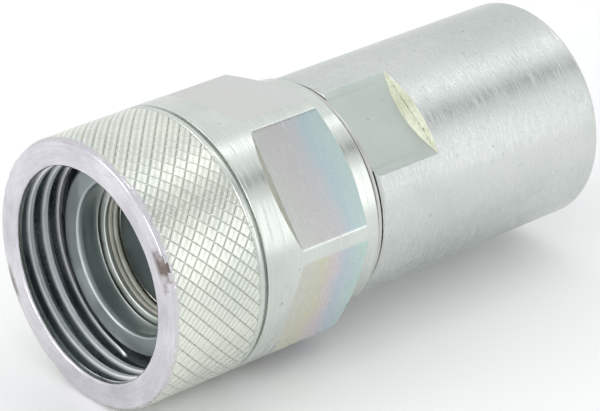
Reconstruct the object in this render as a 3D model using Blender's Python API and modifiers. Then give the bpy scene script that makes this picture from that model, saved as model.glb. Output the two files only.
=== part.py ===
"""A screw-to-connect hydraulic quick coupler, female half, with a poppet valve and a free-turning nut.

The coupler is modelled standing on its port face, mouth up, about the local Z axis. One parent empty
lays it down, so the mouth looks along -Y and the port face is at the world origin. Units are metres.
"""

import math

import bmesh
import bpy

MM = 0.001

# Clearances. Touching pieces keep FIT between them.
FIT = 0.3 * MM
FLANGE_CLEARANCE = 0.2 * MM
POPPET_CLEARANCE = 0.4 * MM
SPRING_CLEARANCE = 0.6 * MM
WIRE_GAP = 0.05 * MM

# Driving sizes of the outside.
OVERALL_LENGTH = 98.0 * MM
NUT_LENGTH = 46.0 * MM
NUT_DIAMETER = 46.0 * MM
HEX_CUT = 2.5 * MM
REAR_COLLAR_CUT = 2.9 * MM
BODY_STEP = 3.5 * MM
WRENCH_CUT = 2.0 * MM
HEX_TURN = math.radians(37.75)
WRENCH_TURN = math.radians(53.2)
SMALL_CHAMFER = 0.5 * MM

# The nut.
RIM_WIDTH = 2.2 * MM
RIM_DROP = 1.4 * MM
RIM_ROUND_IN = 0.25
RIM_ROUND_DOWN = 0.35
MOUTH_CHAMFER = 1.3 * MM
KNURL_LENGTH = 16.3 * MM
BEAD_LENGTH = 0.9 * MM
UNDERCUT_LENGTH = 0.7 * MM
UNDERCUT_DEPTH = 0.8 * MM
COLLAR_LENGTH = 7.5 * MM
HEX_REAR_GAP = 5.4 * MM
HEX_CHAMFER = math.radians(30.0)
HEX_SHOULDER = math.radians(42.0)
NUT_SHOULDER = 5.4 * MM
NUT_WALL = 3.0 * MM
NUT_THREAD_PITCH = 3.0 * MM
NUT_THREAD_DEPTH = 1.7 * MM
NUT_THREAD_LENGTH = 9.6 * MM
NUT_THREAD_START = math.radians(180.0)
NUT_GROOVE_MOUTH = 0.77
NUT_GROOVE_ROOT = 0.33
THREAD_RELIEF = 2.4 * MM
WIPER_HEIGHT = 1.6 * MM
WIPER_THICKNESS = 1.0 * MM

# The front body and its valve seat.
NOSE_RECESS = 8.8 * MM
NOSE_STEP = 1.1 * MM
FLANGE_STEP = 1.5 * MM
FLANGE_LENGTH = 4.0 * MM
NECK_WALL = 2.0 * MM
SEAT_STEP = 1.6 * MM
SEAT_OVERLAP = 1.1 * MM
PROBE_BORE_DEPTH = 4.4 * MM
LIP_LENGTH = 0.9 * MM
SEAT_LIP = 0.7 * MM
SEAL_LENGTH = 1.1 * MM
BACKUP_LENGTH = 0.6 * MM
SEAL_GROOVE_DEPTH = 1.4 * MM
SEAT_THROAT = 0.8 * MM
SEAT_CONE = 1.5 * MM
SEAT_SKIRT = 0.8 * MM
LOCK_RING_THICKNESS = 1.0 * MM
LOCK_RING_WIDTH = 1.6 * MM
STOP_RING_THICKNESS = 0.8 * MM
THRUST_WASHER_THICKNESS = 0.8 * MM

# The valve.
POPPET_RECESS = 3.0 * MM
POPPET_PLUG = 1.3 * MM
POPPET_EDGE = 0.1 * MM
POPPET_SEAL_THICKNESS = 1.2 * MM
POPPET_SEAL_OVERHANG = 0.4 * MM
RETAINER_THICKNESS = 1.8 * MM
RETAINER_HUB = 2.0 * MM
STEM_DIAMETER = 6.0 * MM
STEM_TAIL = 3.0 * MM
BOSS_WALL = 1.9 * MM
HUB_WALL = 1.5 * MM
STEM_NUT_WALL = 2.5 * MM
STEM_NUT_THICKNESS = 2.8 * MM
SPRING_WIRE = 2.0 * MM
SPRING_TURNS = 7

# The rear body, its port and the parts it holds.
BODY_GAP = 1.5 * MM
BODY_EDGE = 0.8 * MM
BODY_EDGE_ROUND = 0.3
WRENCH_FLAT_LENGTH = 11.8 * MM
WRENCH_RAMP = math.radians(45.0)
SPIGOT_LENGTH = 12.5 * MM
SPIGOT_WALL = 2.8 * MM
GUIDE_STEP = 2.0 * MM
GUIDE_DEPTH = 6.5 * MM
PORT_THREAD_DIAMETER = 26.44 * MM
PORT_THREAD_PITCH = 1.814 * MM
PORT_THREAD_DEPTH = 1.16 * MM
PORT_THREAD_LENGTH = 16.0 * MM
PORT_GROOVE_MOUTH = 0.82
PORT_GROOVE_ROOT = 0.25
PORT_RELIEF = 2.6 * MM
PORT_RELIEF_SLOPE = math.radians(30.0)
O_RING_SECTION = 1.4 * MM
O_RING_HEIGHT = 3.5 * MM
BACKUP_RING_LENGTH = 1.0 * MM
GUIDE_LENGTH = 6.0 * MM
GUIDE_WEB = 2.0 * MM
GUIDE_RIM = 1.9 * MM
GUIDE_HUB_WALL = 1.8 * MM
BUSH_WALL = 0.8 * MM
SPOKES = 3
SPOKE_WIDTH = 2.4 * MM
SPOKE_THICKNESS = 1.8 * MM
SNAP_RING_THICKNESS = 1.0 * MM
SNAP_RING_WIDTH = 1.7 * MM
SNAP_RING_GAP = 3.0 * MM
SPRING_SEAT_THICKNESS = 0.8 * MM
SOFT_CORNER = 0.29

# Diameters, worked out from the nut's inwards, and from the stem's outwards.
HEX_ACROSS_FLATS = NUT_DIAMETER - 2 * HEX_CUT
REAR_COLLAR_DIAMETER = NUT_DIAMETER - 2 * REAR_COLLAR_CUT
BODY_DIAMETER = NUT_DIAMETER - 2 * BODY_STEP
WRENCH_ACROSS_FLATS = BODY_DIAMETER - 2 * WRENCH_CUT
NUT_THREAD_DIAMETER = NUT_DIAMETER - 2 * NUT_WALL
FLANGE_DIAMETER = NUT_THREAD_DIAMETER - 2 * (NUT_THREAD_DEPTH + FLANGE_CLEARANCE)
NOSE_DIAMETER = FLANGE_DIAMETER - 2 * NOSE_STEP
NECK_DIAMETER = FLANGE_DIAMETER - 2 * FLANGE_STEP
CAVITY_DIAMETER = NECK_DIAMETER - 2 * NECK_WALL
PROBE_BORE = CAVITY_DIAMETER - 2 * SEAT_STEP
SEAT_BORE = PROBE_BORE - 2 * SEAT_OVERLAP
GUIDE_BORE = CAVITY_DIAMETER - 2 * (FIT + SPIGOT_WALL)
PASSAGE_DIAMETER = GUIDE_BORE - 2 * GUIDE_STEP
BOSS_DIAMETER = STEM_DIAMETER + 2 * (FIT + BOSS_WALL)
HUB_DIAMETER = BOSS_DIAMETER + 2 * (FIT + HUB_WALL)
STEM_NUT_ACROSS_FLATS = STEM_DIAMETER + 2 * STEM_NUT_WALL
SPRING_MEAN_DIAMETER = HUB_DIAMETER + SPRING_WIRE + 2 * SPRING_CLEARANCE
GUIDE_HUB_DIAMETER = STEM_DIAMETER + 2 * (FIT + BUSH_WALL + FIT + GUIDE_HUB_WALL)

# Heights above the port face, worked out from the sizes above.
MOUTH = OVERALL_LENGTH
NUT_REAR = MOUTH - NUT_LENGTH
BODY_FRONT = NUT_REAR - BODY_GAP
NUT_SHOULDER_TOP = NUT_REAR + NUT_SHOULDER
WASHER_BASE = NUT_SHOULDER_TOP + FIT
FLANGE_BASE = WASHER_BASE + THRUST_WASHER_THICKNESS + FIT
NOSE_FACE = MOUTH - NOSE_RECESS
CAVITY_TOP = NOSE_FACE - PROBE_BORE_DEPTH
SEAT_TOP = CAVITY_TOP - FIT
SEAL_GROOVE_TOP = SEAT_TOP - SEAT_LIP
SEAL_GROOVE_BASE = SEAL_GROOVE_TOP - BACKUP_LENGTH - SEAL_LENGTH - 3 * FIT
THROAT_BASE = SEAL_GROOVE_BASE - SEAT_THROAT
SEAT_BASE = THROAT_BASE - SEAT_CONE - SEAT_SKIRT
LOCK_RING_TOP = SEAT_BASE - FIT
POPPET_FACE = CAVITY_TOP - POPPET_RECESS
PLUG_BASE = POPPET_FACE - POPPET_PLUG
SPIGOT_TOP = BODY_FRONT + SPIGOT_LENGTH
GUIDE_SHOULDER = BODY_FRONT - GUIDE_DEPTH
GUIDE_BASE = GUIDE_SHOULDER + FIT
SPRING_SEAT_BASE = GUIDE_BASE + GUIDE_WEB + FIT

# How far a cutter reaches past the face it cuts, and how finely round shapes are stepped.
CUT_PAST = 2.0 * MM
THREAD_CUT_PAST = 0.5 * MM
ROUND = 36
SMALL_ROUND = 24
NUT_THREAD_STEPS = 24
PORT_THREAD_STEPS = 16
SPRING_STEPS = 12


def clear_scene():
    for obj in list(bpy.data.objects):
        bpy.data.objects.remove(obj, do_unlink=True)


def new_collection(name, hidden=False):
    collection = bpy.data.collections.new(name)
    collection.hide_render = hidden
    bpy.context.scene.collection.children.link(collection)
    return collection


def new_material(name, colour, roughness, metallic):
    material = bpy.data.materials.new(name)
    material.use_nodes = True
    shader = material.node_tree.nodes["Principled BSDF"]
    shader.inputs["Base Color"].default_value = (*colour, 1.0)
    shader.inputs["Roughness"].default_value = roughness
    shader.inputs["Metallic"].default_value = metallic
    return material


clear_scene()
PARTS = new_collection("quick_disconnect_coupler")
CUTTERS = new_collection("cutters", hidden=True)
AXIS = bpy.data.objects.new("coupler_axis", None)
AXIS.rotation_euler = (math.radians(90.0), 0.0, 0.0)
PARTS.objects.link(AXIS)

ZINC = new_material("zinc_plated_steel", (0.62, 0.64, 0.62), 0.34, 1.0)
BODY_ZINC = new_material("turned_zinc_plated_steel", (0.60, 0.62, 0.62), 0.38, 1.0)
DARK_STEEL = new_material("dark_steel", (0.17, 0.19, 0.19), 0.42, 1.0)
BRIGHT_STEEL = new_material("bright_steel", (0.70, 0.70, 0.68), 0.22, 1.0)
SPRING_STEEL = new_material("spring_steel", (0.42, 0.42, 0.42), 0.30, 1.0)
RUBBER = new_material("nitrile_rubber", (0.02, 0.02, 0.02), 0.65, 0.0)
PTFE = new_material("ptfe", (0.80, 0.78, 0.70), 0.55, 0.0)
URETHANE = new_material("polyurethane", (0.55, 0.50, 0.26), 0.50, 0.0)
BRONZE = new_material("sintered_bronze", (0.52, 0.36, 0.18), 0.45, 1.0)


def place(obj, collection, material=None):
    """Links an object under the axis empty, with its own copy of the material."""
    collection.objects.link(obj)
    obj.parent = AXIS
    if material is not None:
        own = material.copy()
        own.name = obj.name + "_" + material.name
        obj.data.materials.clear()
        obj.data.materials.append(own)
    if collection is CUTTERS:
        obj.hide_render = True
        obj.display_type = "WIRE"
    return obj


def applied(obj):
    """The object's evaluated mesh, welded and facing out; the object itself is removed."""
    bpy.context.view_layer.update()
    graph = bpy.context.evaluated_depsgraph_get()
    mesh = bpy.data.meshes.new_from_object(obj.evaluated_get(graph))
    name = obj.name
    bpy.data.objects.remove(obj, do_unlink=True)
    work = bmesh.new()
    work.from_mesh(mesh)
    bmesh.ops.remove_doubles(work, verts=work.verts, dist=1e-7)
    bmesh.ops.recalc_face_normals(work, faces=work.faces)
    work.to_mesh(mesh)
    work.free()
    mesh.name = name
    return mesh


def signed_area(points):
    pairs = zip(points, points[1:] + points[:1])
    return sum(a[0] * b[1] - b[0] * a[1] for a, b in pairs) / 2.0


def outline_mesh(name, points):
    """A closed outline of (radius, height) points in the XZ plane, running down its outer side."""
    if signed_area(points) > 0.0:
        points = points[::-1]
    mesh = bpy.data.meshes.new(name)
    edges = [(i, (i + 1) % len(points)) for i in range(len(points))]
    mesh.from_pydata([(r, 0.0, h) for r, h in points], edges, [])
    return mesh


def add_screw(obj, steps, rise=0.0, turns=1):
    screw = obj.modifiers.new("turn", "SCREW")
    screw.axis = "Z"
    screw.steps = steps
    screw.render_steps = steps
    screw.screw_offset = rise
    screw.iterations = turns
    screw.use_merge_vertices = True
    screw.merge_threshold = 0.000001
    return screw


def turned(name, points, material=None, collection=PARTS, steps=ROUND):
    """A turned piece: its outline of (radius, height) points swept about the axis."""
    raw = bpy.data.objects.new(name + "_outline", outline_mesh(name, points))
    bpy.context.scene.collection.objects.link(raw)
    add_screw(raw, steps)
    mesh = applied(raw)
    mesh.shade_smooth()
    mesh.set_sharp_from_angle(angle=math.radians(30.0))
    return place(bpy.data.objects.new(name, mesh), collection, material)


def ring(name, inner, outer, base, top, material, steps=ROUND):
    points = [(outer, top), (outer, base), (inner, base), (inner, top)]
    return turned(name, points, material, steps=steps)


def soft_ring(name, inner, outer, base, top, material, steps=ROUND):
    """A ring whose section has its four corners cut, like a moulded seal."""
    cut = SOFT_CORNER * min(outer - inner, top - base)
    points = [
        (outer, top - cut),
        (outer, base + cut),
        (outer - cut, base),
        (inner + cut, base),
        (inner, base + cut),
        (inner, top - cut),
        (inner + cut, top),
        (outer - cut, top),
    ]
    return turned(name, points, material, steps=steps)


def box_cutter(name, size, centre, turn):
    """A box of size (x, y, z) centred at (x, y, z), all turned about the axis."""
    mesh = bpy.data.meshes.new(name)
    work = bmesh.new()
    bmesh.ops.create_cube(work, size=1.0)
    bmesh.ops.scale(work, vec=size, verts=work.verts)
    work.to_mesh(mesh)
    work.free()
    obj = place(bpy.data.objects.new(name, mesh), CUTTERS)
    obj.rotation_euler = (0.0, 0.0, turn)
    x, y, z = centre
    obj.location = (
        x * math.cos(turn) - y * math.sin(turn),
        x * math.sin(turn) + y * math.cos(turn),
        z,
    )
    return obj


def boolean(obj, other, operation="DIFFERENCE"):
    modifier = obj.modifiers.new(operation.lower() + "_" + other.name, "BOOLEAN")
    modifier.operation = operation
    modifier.solver = "EXACT"
    modifier.object = other


def helix_cutter(name, bore_radius, root_radius, pitch, mouth, root, base, top, steps, start=0.0):
    """A screw-shaped tooth that cuts one internal thread groove between two heights.

    Its widths at the bore and at the root are shares of the pitch. It starts at an angle about the axis.
    """
    inside = bore_radius - THREAD_CUT_PAST
    flank = pitch * (mouth - root) / 2 / (root_radius - bore_radius)
    half_root = pitch * root / 2
    half_inside = half_root + flank * (root_radius - inside)
    points = [
        (root_radius, half_root),
        (root_radius, -half_root),
        (inside, -half_inside),
        (inside, half_inside),
    ]
    turns = math.ceil((top - base) / pitch)
    raw = bpy.data.objects.new(name + "_outline", outline_mesh(name, points))
    bpy.context.scene.collection.objects.link(raw)
    screw = add_screw(raw, steps, rise=pitch, turns=turns)
    screw.use_merge_vertices = False
    bpy.context.view_layer.update()
    graph = bpy.context.evaluated_depsgraph_get()
    mesh = bpy.data.meshes.new_from_object(raw.evaluated_get(graph))
    bpy.data.objects.remove(raw, do_unlink=True)
    work = bmesh.new()
    work.from_mesh(mesh)
    open_edges = [edge for edge in work.edges if edge.is_boundary]
    bmesh.ops.holes_fill(work, edges=open_edges, sides=4)
    bmesh.ops.recalc_face_normals(work, faces=work.faces)
    work.to_mesh(mesh)
    work.free()
    obj = place(bpy.data.objects.new(name, mesh), CUTTERS)
    obj.location = (0.0, 0.0, base)
    obj.rotation_euler = (0.0, 0.0, start)
    return obj


def make_nut():
    outer = NUT_DIAMETER / 2
    root = NUT_THREAD_DIAMETER / 2
    minor = root - NUT_THREAD_DEPTH
    bead_top = MOUTH - RIM_DROP - KNURL_LENGTH
    undercut_top = bead_top - BEAD_LENGTH
    undercut_base = undercut_top - UNDERCUT_LENGTH
    inscribed = HEX_ACROSS_FLATS / 2
    collar = REAR_COLLAR_DIAMETER / 2
    hex_rear = NUT_REAR + HEX_REAR_GAP
    chamfer_base = hex_rear - (outer - collar) * math.tan(HEX_CHAMFER)
    rim = outer - RIM_WIDTH
    relief_top = MOUTH - NUT_THREAD_LENGTH
    relief_base = relief_top - THREAD_RELIEF
    bore = FLANGE_DIAMETER / 2 + FIT
    rear_bore = NECK_DIAMETER / 2 + FIT
    relief = root + FIT
    wiper_base = NUT_REAR + (NUT_SHOULDER - WIPER_HEIGHT) / 2 - FIT
    wiper_groove = rear_bore + WIPER_THICKNESS + FIT
    points = [
        (rim, MOUTH),
        (outer - RIM_ROUND_IN * RIM_WIDTH, MOUTH - RIM_ROUND_DOWN * RIM_DROP),
        (outer, MOUTH - RIM_DROP),
        (outer, undercut_top),
        (outer - UNDERCUT_DEPTH, undercut_top),
        (outer - UNDERCUT_DEPTH, undercut_base),
        (outer, undercut_base),
        (outer, hex_rear),
        (collar, chamfer_base),
        (collar, NUT_REAR + SMALL_CHAMFER),
        (collar - SMALL_CHAMFER, NUT_REAR),
        (rear_bore, NUT_REAR),
        (rear_bore, wiper_base),
        (wiper_groove, wiper_base),
        (wiper_groove, wiper_base + WIPER_HEIGHT + 2 * FIT),
        (rear_bore, wiper_base + WIPER_HEIGHT + 2 * FIT),
        (rear_bore, NUT_SHOULDER_TOP),
        (bore, NUT_SHOULDER_TOP),
        (bore, relief_base),
        (relief, relief_base),
        (relief, relief_top),
        (minor, relief_top),
        (minor, MOUTH - MOUTH_CHAMFER),
    ]
    nut = turned("coupling_nut", points, ZINC)
    cut_hexagon(nut, inscribed, outer, undercut_base)
    thread = helix_cutter(
        "nut_thread_cutter",
        minor,
        root,
        NUT_THREAD_PITCH,
        NUT_GROOVE_MOUTH,
        NUT_GROOVE_ROOT,
        relief_top - THREAD_RELIEF / 2,
        MOUTH + NUT_THREAD_PITCH / 2,
        NUT_THREAD_STEPS,
        NUT_THREAD_START,
    )
    boolean(nut, thread)
    wiper = wiper_base + FIT
    inner = rear_bore
    soft_ring("nut_wiper", inner, inner + WIPER_THICKNESS, wiper, wiper + WIPER_HEIGHT, RUBBER)


def cut_hexagon(nut, inscribed, outer, undercut_base):
    """Six flats, each ending at the front in a sloped shoulder below the round collar."""
    flats_top = undercut_base - COLLAR_LENGTH
    depth = 2 * (outer - inscribed)
    length = flats_top - NUT_REAR + CUT_PAST
    side = 2 * outer
    for flat in range(6):
        turn = HEX_TURN + flat * math.pi / 3
        cutter = box_cutter(
            f"hex_cutter_{flat + 1}",
            (depth, side, length),
            (inscribed + depth / 2, 0.0, flats_top - length / 2),
            turn,
        )
        slope_top(cutter, depth)
        boolean(nut, cutter)


def slope_top(cutter, depth):
    """Raises the outer top edge of a box, so that it cuts a sloped shoulder."""
    rise = depth * math.tan(math.pi / 2 - HEX_SHOULDER)
    for vertex in cutter.data.vertices:
        if vertex.co.x > 0.0 and vertex.co.z > 0.0:
            vertex.co.z += rise


def make_front_body():
    nose = NOSE_DIAMETER / 2
    flange = FLANGE_DIAMETER / 2
    neck = NECK_DIAMETER / 2
    cavity = CAVITY_DIAMETER / 2
    bore = PROBE_BORE / 2
    lock = cavity + LOCK_RING_WIDTH / 2
    groove_top = LOCK_RING_TOP + FIT
    groove_base = LOCK_RING_TOP - LOCK_RING_THICKNESS - FIT
    points = [
        (nose - SMALL_CHAMFER, NOSE_FACE),
        (nose, NOSE_FACE - SMALL_CHAMFER),
        (nose, FLANGE_BASE + FLANGE_LENGTH),
        (flange, FLANGE_BASE + FLANGE_LENGTH),
        (flange, FLANGE_BASE),
        (neck, FLANGE_BASE),
        (neck, BODY_FRONT + FIT),
        (cavity, BODY_FRONT + FIT),
        (cavity, groove_base),
        (lock, groove_base),
        (lock, groove_top),
        (cavity, groove_top),
        (cavity, CAVITY_TOP),
        (bore, CAVITY_TOP),
        (bore, NOSE_FACE - LIP_LENGTH),
        (bore + FIT, NOSE_FACE),
    ]
    turned("front_body", points, DARK_STEEL)
    ring(
        "nut_thrust_washer",
        neck + FIT,
        flange,
        WASHER_BASE,
        WASHER_BASE + THRUST_WASHER_THICKNESS,
        BRONZE,
    )
    stop_base = BODY_FRONT + (BODY_GAP - STOP_RING_THICKNESS) / 2
    ring(
        "nut_stop_ring",
        neck + FIT,
        BODY_DIAMETER / 2 - SMALL_CHAMFER,
        stop_base,
        stop_base + STOP_RING_THICKNESS,
        BRIGHT_STEEL,
    )


def make_seat():
    outer = CAVITY_DIAMETER / 2 - FIT
    bore = SEAT_BORE / 2
    groove = bore + SEAL_GROOVE_DEPTH
    throat = bore + SEAT_CONE
    points = [
        (outer, SEAT_TOP),
        (outer, SEAT_BASE),
        (throat, SEAT_BASE),
        (throat, SEAT_BASE + SEAT_SKIRT),
        (bore, THROAT_BASE),
        (bore, SEAL_GROOVE_BASE),
        (groove, SEAL_GROOVE_BASE),
        (groove, SEAL_GROOVE_TOP),
        (bore, SEAL_GROOVE_TOP),
        (bore, SEAT_TOP),
    ]
    turned("seat_ring", points, BRIGHT_STEEL)
    seal_outer = groove - FIT
    backup_top = SEAL_GROOVE_TOP - FIT
    seal_top = backup_top - BACKUP_LENGTH - FIT
    ring(
        "interface_backup_ring",
        bore,
        seal_outer,
        backup_top - BACKUP_LENGTH,
        backup_top,
        PTFE,
    )
    soft_ring("interface_seal", bore, seal_outer, seal_top - SEAL_LENGTH, seal_top, URETHANE)
    split_ring(
        "seat_lock_ring",
        CAVITY_DIAMETER / 2 + LOCK_RING_WIDTH / 2 - FIT - LOCK_RING_WIDTH,
        CAVITY_DIAMETER / 2 + LOCK_RING_WIDTH / 2 - FIT,
        LOCK_RING_TOP - LOCK_RING_THICKNESS,
        LOCK_RING_TOP,
    )


def split_ring(name, inner, outer, base, top):
    """A snap ring: a flat ring with its ends apart."""
    obj = ring(name, inner, outer, base, top, SPRING_STEEL)
    cutter = box_cutter(
        name + "_gap_cutter",
        (outer, SNAP_RING_GAP, 3 * (top - base)),
        (outer, 0.0, (base + top) / 2),
        math.radians(-90.0),
    )
    boolean(obj, cutter)


def make_poppet():
    """The valve head, its seal, the retainer behind it and the stem with its nut."""
    plug = SEAT_BORE / 2 - POPPET_CLEARANCE
    boss = BOSS_DIAMETER / 2
    head = plug + SEAT_CONE / 2
    head_base = PLUG_BASE - SEAT_CONE / 2 - POPPET_EDGE
    seal_top = head_base - FIT
    seal_base = seal_top - POPPET_SEAL_THICKNESS
    retainer_top = seal_base - FIT
    retainer_base = retainer_top - RETAINER_THICKNESS
    hub_base = retainer_base - RETAINER_HUB
    nut_top = hub_base - FIT
    boss_base = hub_base + FIT
    socket = STEM_DIAMETER / 2 + FIT
    socket_top = head_base - FIT
    points = [
        (0.0, POPPET_FACE),
        (plug - FIT, POPPET_FACE),
        (plug, POPPET_FACE - FIT),
        (plug, PLUG_BASE),
        (head, PLUG_BASE - SEAT_CONE / 2),
        (head, head_base),
        (boss, head_base),
        (boss, boss_base),
        (socket, boss_base),
        (socket, socket_top),
        (0.0, socket_top),
    ]
    turned("poppet_head", points, DARK_STEEL, steps=SMALL_ROUND)
    seal_radius = head + POPPET_SEAL_OVERHANG
    soft_ring("poppet_seal", boss + FIT, seal_radius, seal_base, seal_top, RUBBER, SMALL_ROUND)
    retainer_radius = SEAT_BORE / 2 + SEAT_CONE - 2 * FIT
    retainer_points = [
        (retainer_radius, retainer_top),
        (retainer_radius, retainer_base),
        (HUB_DIAMETER / 2, retainer_base),
        (HUB_DIAMETER / 2, hub_base),
        (boss + FIT, hub_base),
        (boss + FIT, retainer_top),
    ]
    turned("seal_retainer", retainer_points, BRIGHT_STEEL, steps=SMALL_ROUND)
    stem_base = GUIDE_SHOULDER - STEM_TAIL
    stem_points = [
        (0.0, socket_top - FIT),
        (STEM_DIAMETER / 2, socket_top - FIT),
        (STEM_DIAMETER / 2, stem_base + SMALL_CHAMFER),
        (STEM_DIAMETER / 2 - SMALL_CHAMFER, stem_base),
        (0.0, stem_base),
    ]
    turned("valve_stem", stem_points, BRIGHT_STEEL, steps=SMALL_ROUND)
    make_stem_nut(nut_top)
    return retainer_base


def make_stem_nut(top):
    hexagon = bpy.data.meshes.new("stem_nut")
    work = bmesh.new()
    corner = STEM_NUT_ACROSS_FLATS / 2 / math.cos(math.pi / 6)
    bmesh.ops.create_cone(
        work,
        cap_ends=True,
        segments=6,
        radius1=corner,
        radius2=corner,
        depth=STEM_NUT_THICKNESS,
    )
    work.to_mesh(hexagon)
    work.free()
    nut = place(bpy.data.objects.new("stem_nut", hexagon), PARTS, ZINC)
    nut.location = (0.0, 0.0, top - STEM_NUT_THICKNESS / 2)
    hole = STEM_DIAMETER / 2 + FIT
    reach = STEM_NUT_THICKNESS
    points = [
        (0.0, top + reach),
        (hole, top + reach),
        (hole, top - 2 * reach),
        (0.0, top - 2 * reach),
    ]
    boolean(nut, turned("stem_nut_hole_cutter", points, None, CUTTERS, SMALL_ROUND))


def make_rear_body():
    outer = BODY_DIAMETER / 2
    spigot = CAVITY_DIAMETER / 2 - FIT
    bore = GUIDE_BORE / 2
    passage = PASSAGE_DIAMETER / 2
    major = PORT_THREAD_DIAMETER / 2
    minor = major - PORT_THREAD_DEPTH
    relief = major + FIT
    relief_top = PORT_THREAD_LENGTH + PORT_RELIEF
    o_ring_inner = spigot - O_RING_SECTION
    groove = o_ring_inner - FIT
    groove_base = BODY_FRONT + O_RING_HEIGHT
    groove_top = groove_base + O_RING_SECTION + BACKUP_RING_LENGTH + 3 * FIT
    snap_base = GUIDE_BASE + GUIDE_WEB + FIT
    snap_groove = bore + SNAP_RING_WIDTH / 2
    snap_top = snap_base + SNAP_RING_THICKNESS + FIT
    points = [
        (spigot - SMALL_CHAMFER, SPIGOT_TOP),
        (spigot, SPIGOT_TOP - SMALL_CHAMFER),
        (spigot, groove_top),
        (groove, groove_top),
        (groove, groove_base),
        (spigot, groove_base),
        (spigot, BODY_FRONT),
        (outer - SMALL_CHAMFER, BODY_FRONT),
        (outer, BODY_FRONT - SMALL_CHAMFER),
        (outer, BODY_EDGE),
        (outer - BODY_EDGE_ROUND * BODY_EDGE, BODY_EDGE_ROUND * BODY_EDGE),
        (outer - BODY_EDGE, 0.0),
        (major + 2 * FIT, 0.0),
        (minor, major - minor + 2 * FIT),
        (minor, PORT_THREAD_LENGTH),
        (relief, PORT_THREAD_LENGTH),
        (relief, relief_top),
        (passage, relief_top + (relief - passage) * math.tan(PORT_RELIEF_SLOPE)),
        (passage, GUIDE_SHOULDER),
        (bore, GUIDE_SHOULDER),
        (bore, snap_base - FIT),
        (snap_groove, snap_base - FIT),
        (snap_groove, snap_top),
        (bore, snap_top),
        (bore, SPIGOT_TOP),
    ]
    body = turned("rear_body", points, BODY_ZINC)
    cut_wrench_flats(body, outer)
    thread = helix_cutter(
        "port_thread_cutter",
        minor,
        major,
        PORT_THREAD_PITCH,
        PORT_GROOVE_MOUTH,
        PORT_GROOVE_ROOT,
        -PORT_THREAD_PITCH,
        PORT_THREAD_LENGTH + PORT_RELIEF / 2,
        PORT_THREAD_STEPS,
    )
    boolean(body, thread)
    top = groove_top - FIT
    o_ring_base = groove_base + FIT
    o_ring_top = o_ring_base + O_RING_SECTION
    ring("body_backup_ring", o_ring_inner, spigot, top - BACKUP_RING_LENGTH, top, PTFE)
    soft_ring("body_o_ring", o_ring_inner, spigot, o_ring_base, o_ring_top, RUBBER)
    split_ring(
        "guide_snap_ring",
        snap_groove - FIT - SNAP_RING_WIDTH,
        snap_groove - FIT,
        snap_base,
        snap_base + SNAP_RING_THICKNESS,
    )


def cut_wrench_flats(body, outer):
    """Two opposite spanner flats that run out towards the port in a turned cone."""
    inscribed = WRENCH_ACROSS_FLATS / 2
    depth = 2 * (outer - inscribed)
    top = BODY_FRONT + CUT_PAST
    base = BODY_FRONT - WRENCH_FLAT_LENGTH - (outer - inscribed) / math.tan(WRENCH_RAMP)
    shaft = outer - (top - base + CUT_PAST) * math.tan(WRENCH_RAMP)
    cone_points = [
        (0.0, top + CUT_PAST),
        (shaft, top + CUT_PAST),
        (outer, base),
        (2 * outer, base),
        (2 * outer, base - depth),
        (0.0, base - depth),
    ]
    cone = turned("wrench_flat_cone_cutter", cone_points, None, CUTTERS)
    for side in range(2):
        cutter = box_cutter(
            f"wrench_flat_cutter_{side + 1}",
            (depth, 2 * outer, top - base + CUT_PAST),
            (inscribed + depth / 2, 0.0, (top + base - CUT_PAST) / 2),
            WRENCH_TURN + side * math.pi,
        )
        boolean(cutter, cone)
        boolean(body, cutter)


def make_guide():
    """The spider that centres the stem, with its bush and the washer that the spring stands on."""
    rim = GUIDE_BORE / 2 - FIT
    hub = GUIDE_HUB_DIAMETER / 2
    bush_outer = STEM_DIAMETER / 2 + FIT + BUSH_WALL
    hole = bush_outer + FIT
    top = GUIDE_BASE + GUIDE_LENGTH
    web_top = GUIDE_BASE + GUIDE_WEB
    guide = ring("valve_guide", rim - GUIDE_RIM, rim, GUIDE_BASE, web_top, DARK_STEEL, SMALL_ROUND)
    points = [(hub, top), (hub, GUIDE_BASE), (hole, GUIDE_BASE), (hole, top)]
    boolean(guide, turned("guide_hub", points, None, CUTTERS, SMALL_ROUND), "UNION")
    reach = rim - GUIDE_RIM / 2 - (hub + hole) / 2
    for spoke in range(SPOKES):
        web = box_cutter(
            f"guide_spoke_{spoke + 1}",
            (reach, SPOKE_WIDTH, SPOKE_THICKNESS),
            ((hub + hole) / 2 + reach / 2, 0.0, (GUIDE_BASE + web_top) / 2),
            math.radians(90.0) + spoke * 2 * math.pi / SPOKES,
        )
        boolean(guide, web, "UNION")
    bush_inner = STEM_DIAMETER / 2 + FIT
    ring("guide_bush", bush_inner, bush_outer, GUIDE_BASE + FIT, top - FIT, PTFE, SMALL_ROUND)
    seat_inner = hub + FIT
    seat_outer = GUIDE_BORE / 2 + SNAP_RING_WIDTH / 2 - FIT - SNAP_RING_WIDTH - FIT
    seat_top = SPRING_SEAT_BASE + SPRING_SEAT_THICKNESS
    ring("spring_seat", seat_inner, seat_outer, SPRING_SEAT_BASE, seat_top, BRIGHT_STEEL, SMALL_ROUND)
    return seat_top


def spring_height(turn, base, top):
    """Height of the wire's centre after some turns; the first and the last turn lie flat."""
    pitch = (top - base - 2 * SPRING_WIRE) / (SPRING_TURNS - 2)
    if turn <= 1.0:
        return base + turn * SPRING_WIRE
    if turn >= SPRING_TURNS - 1.0:
        return top - (SPRING_TURNS - turn) * SPRING_WIRE
    return base + SPRING_WIRE + (turn - 1.0) * pitch


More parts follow.
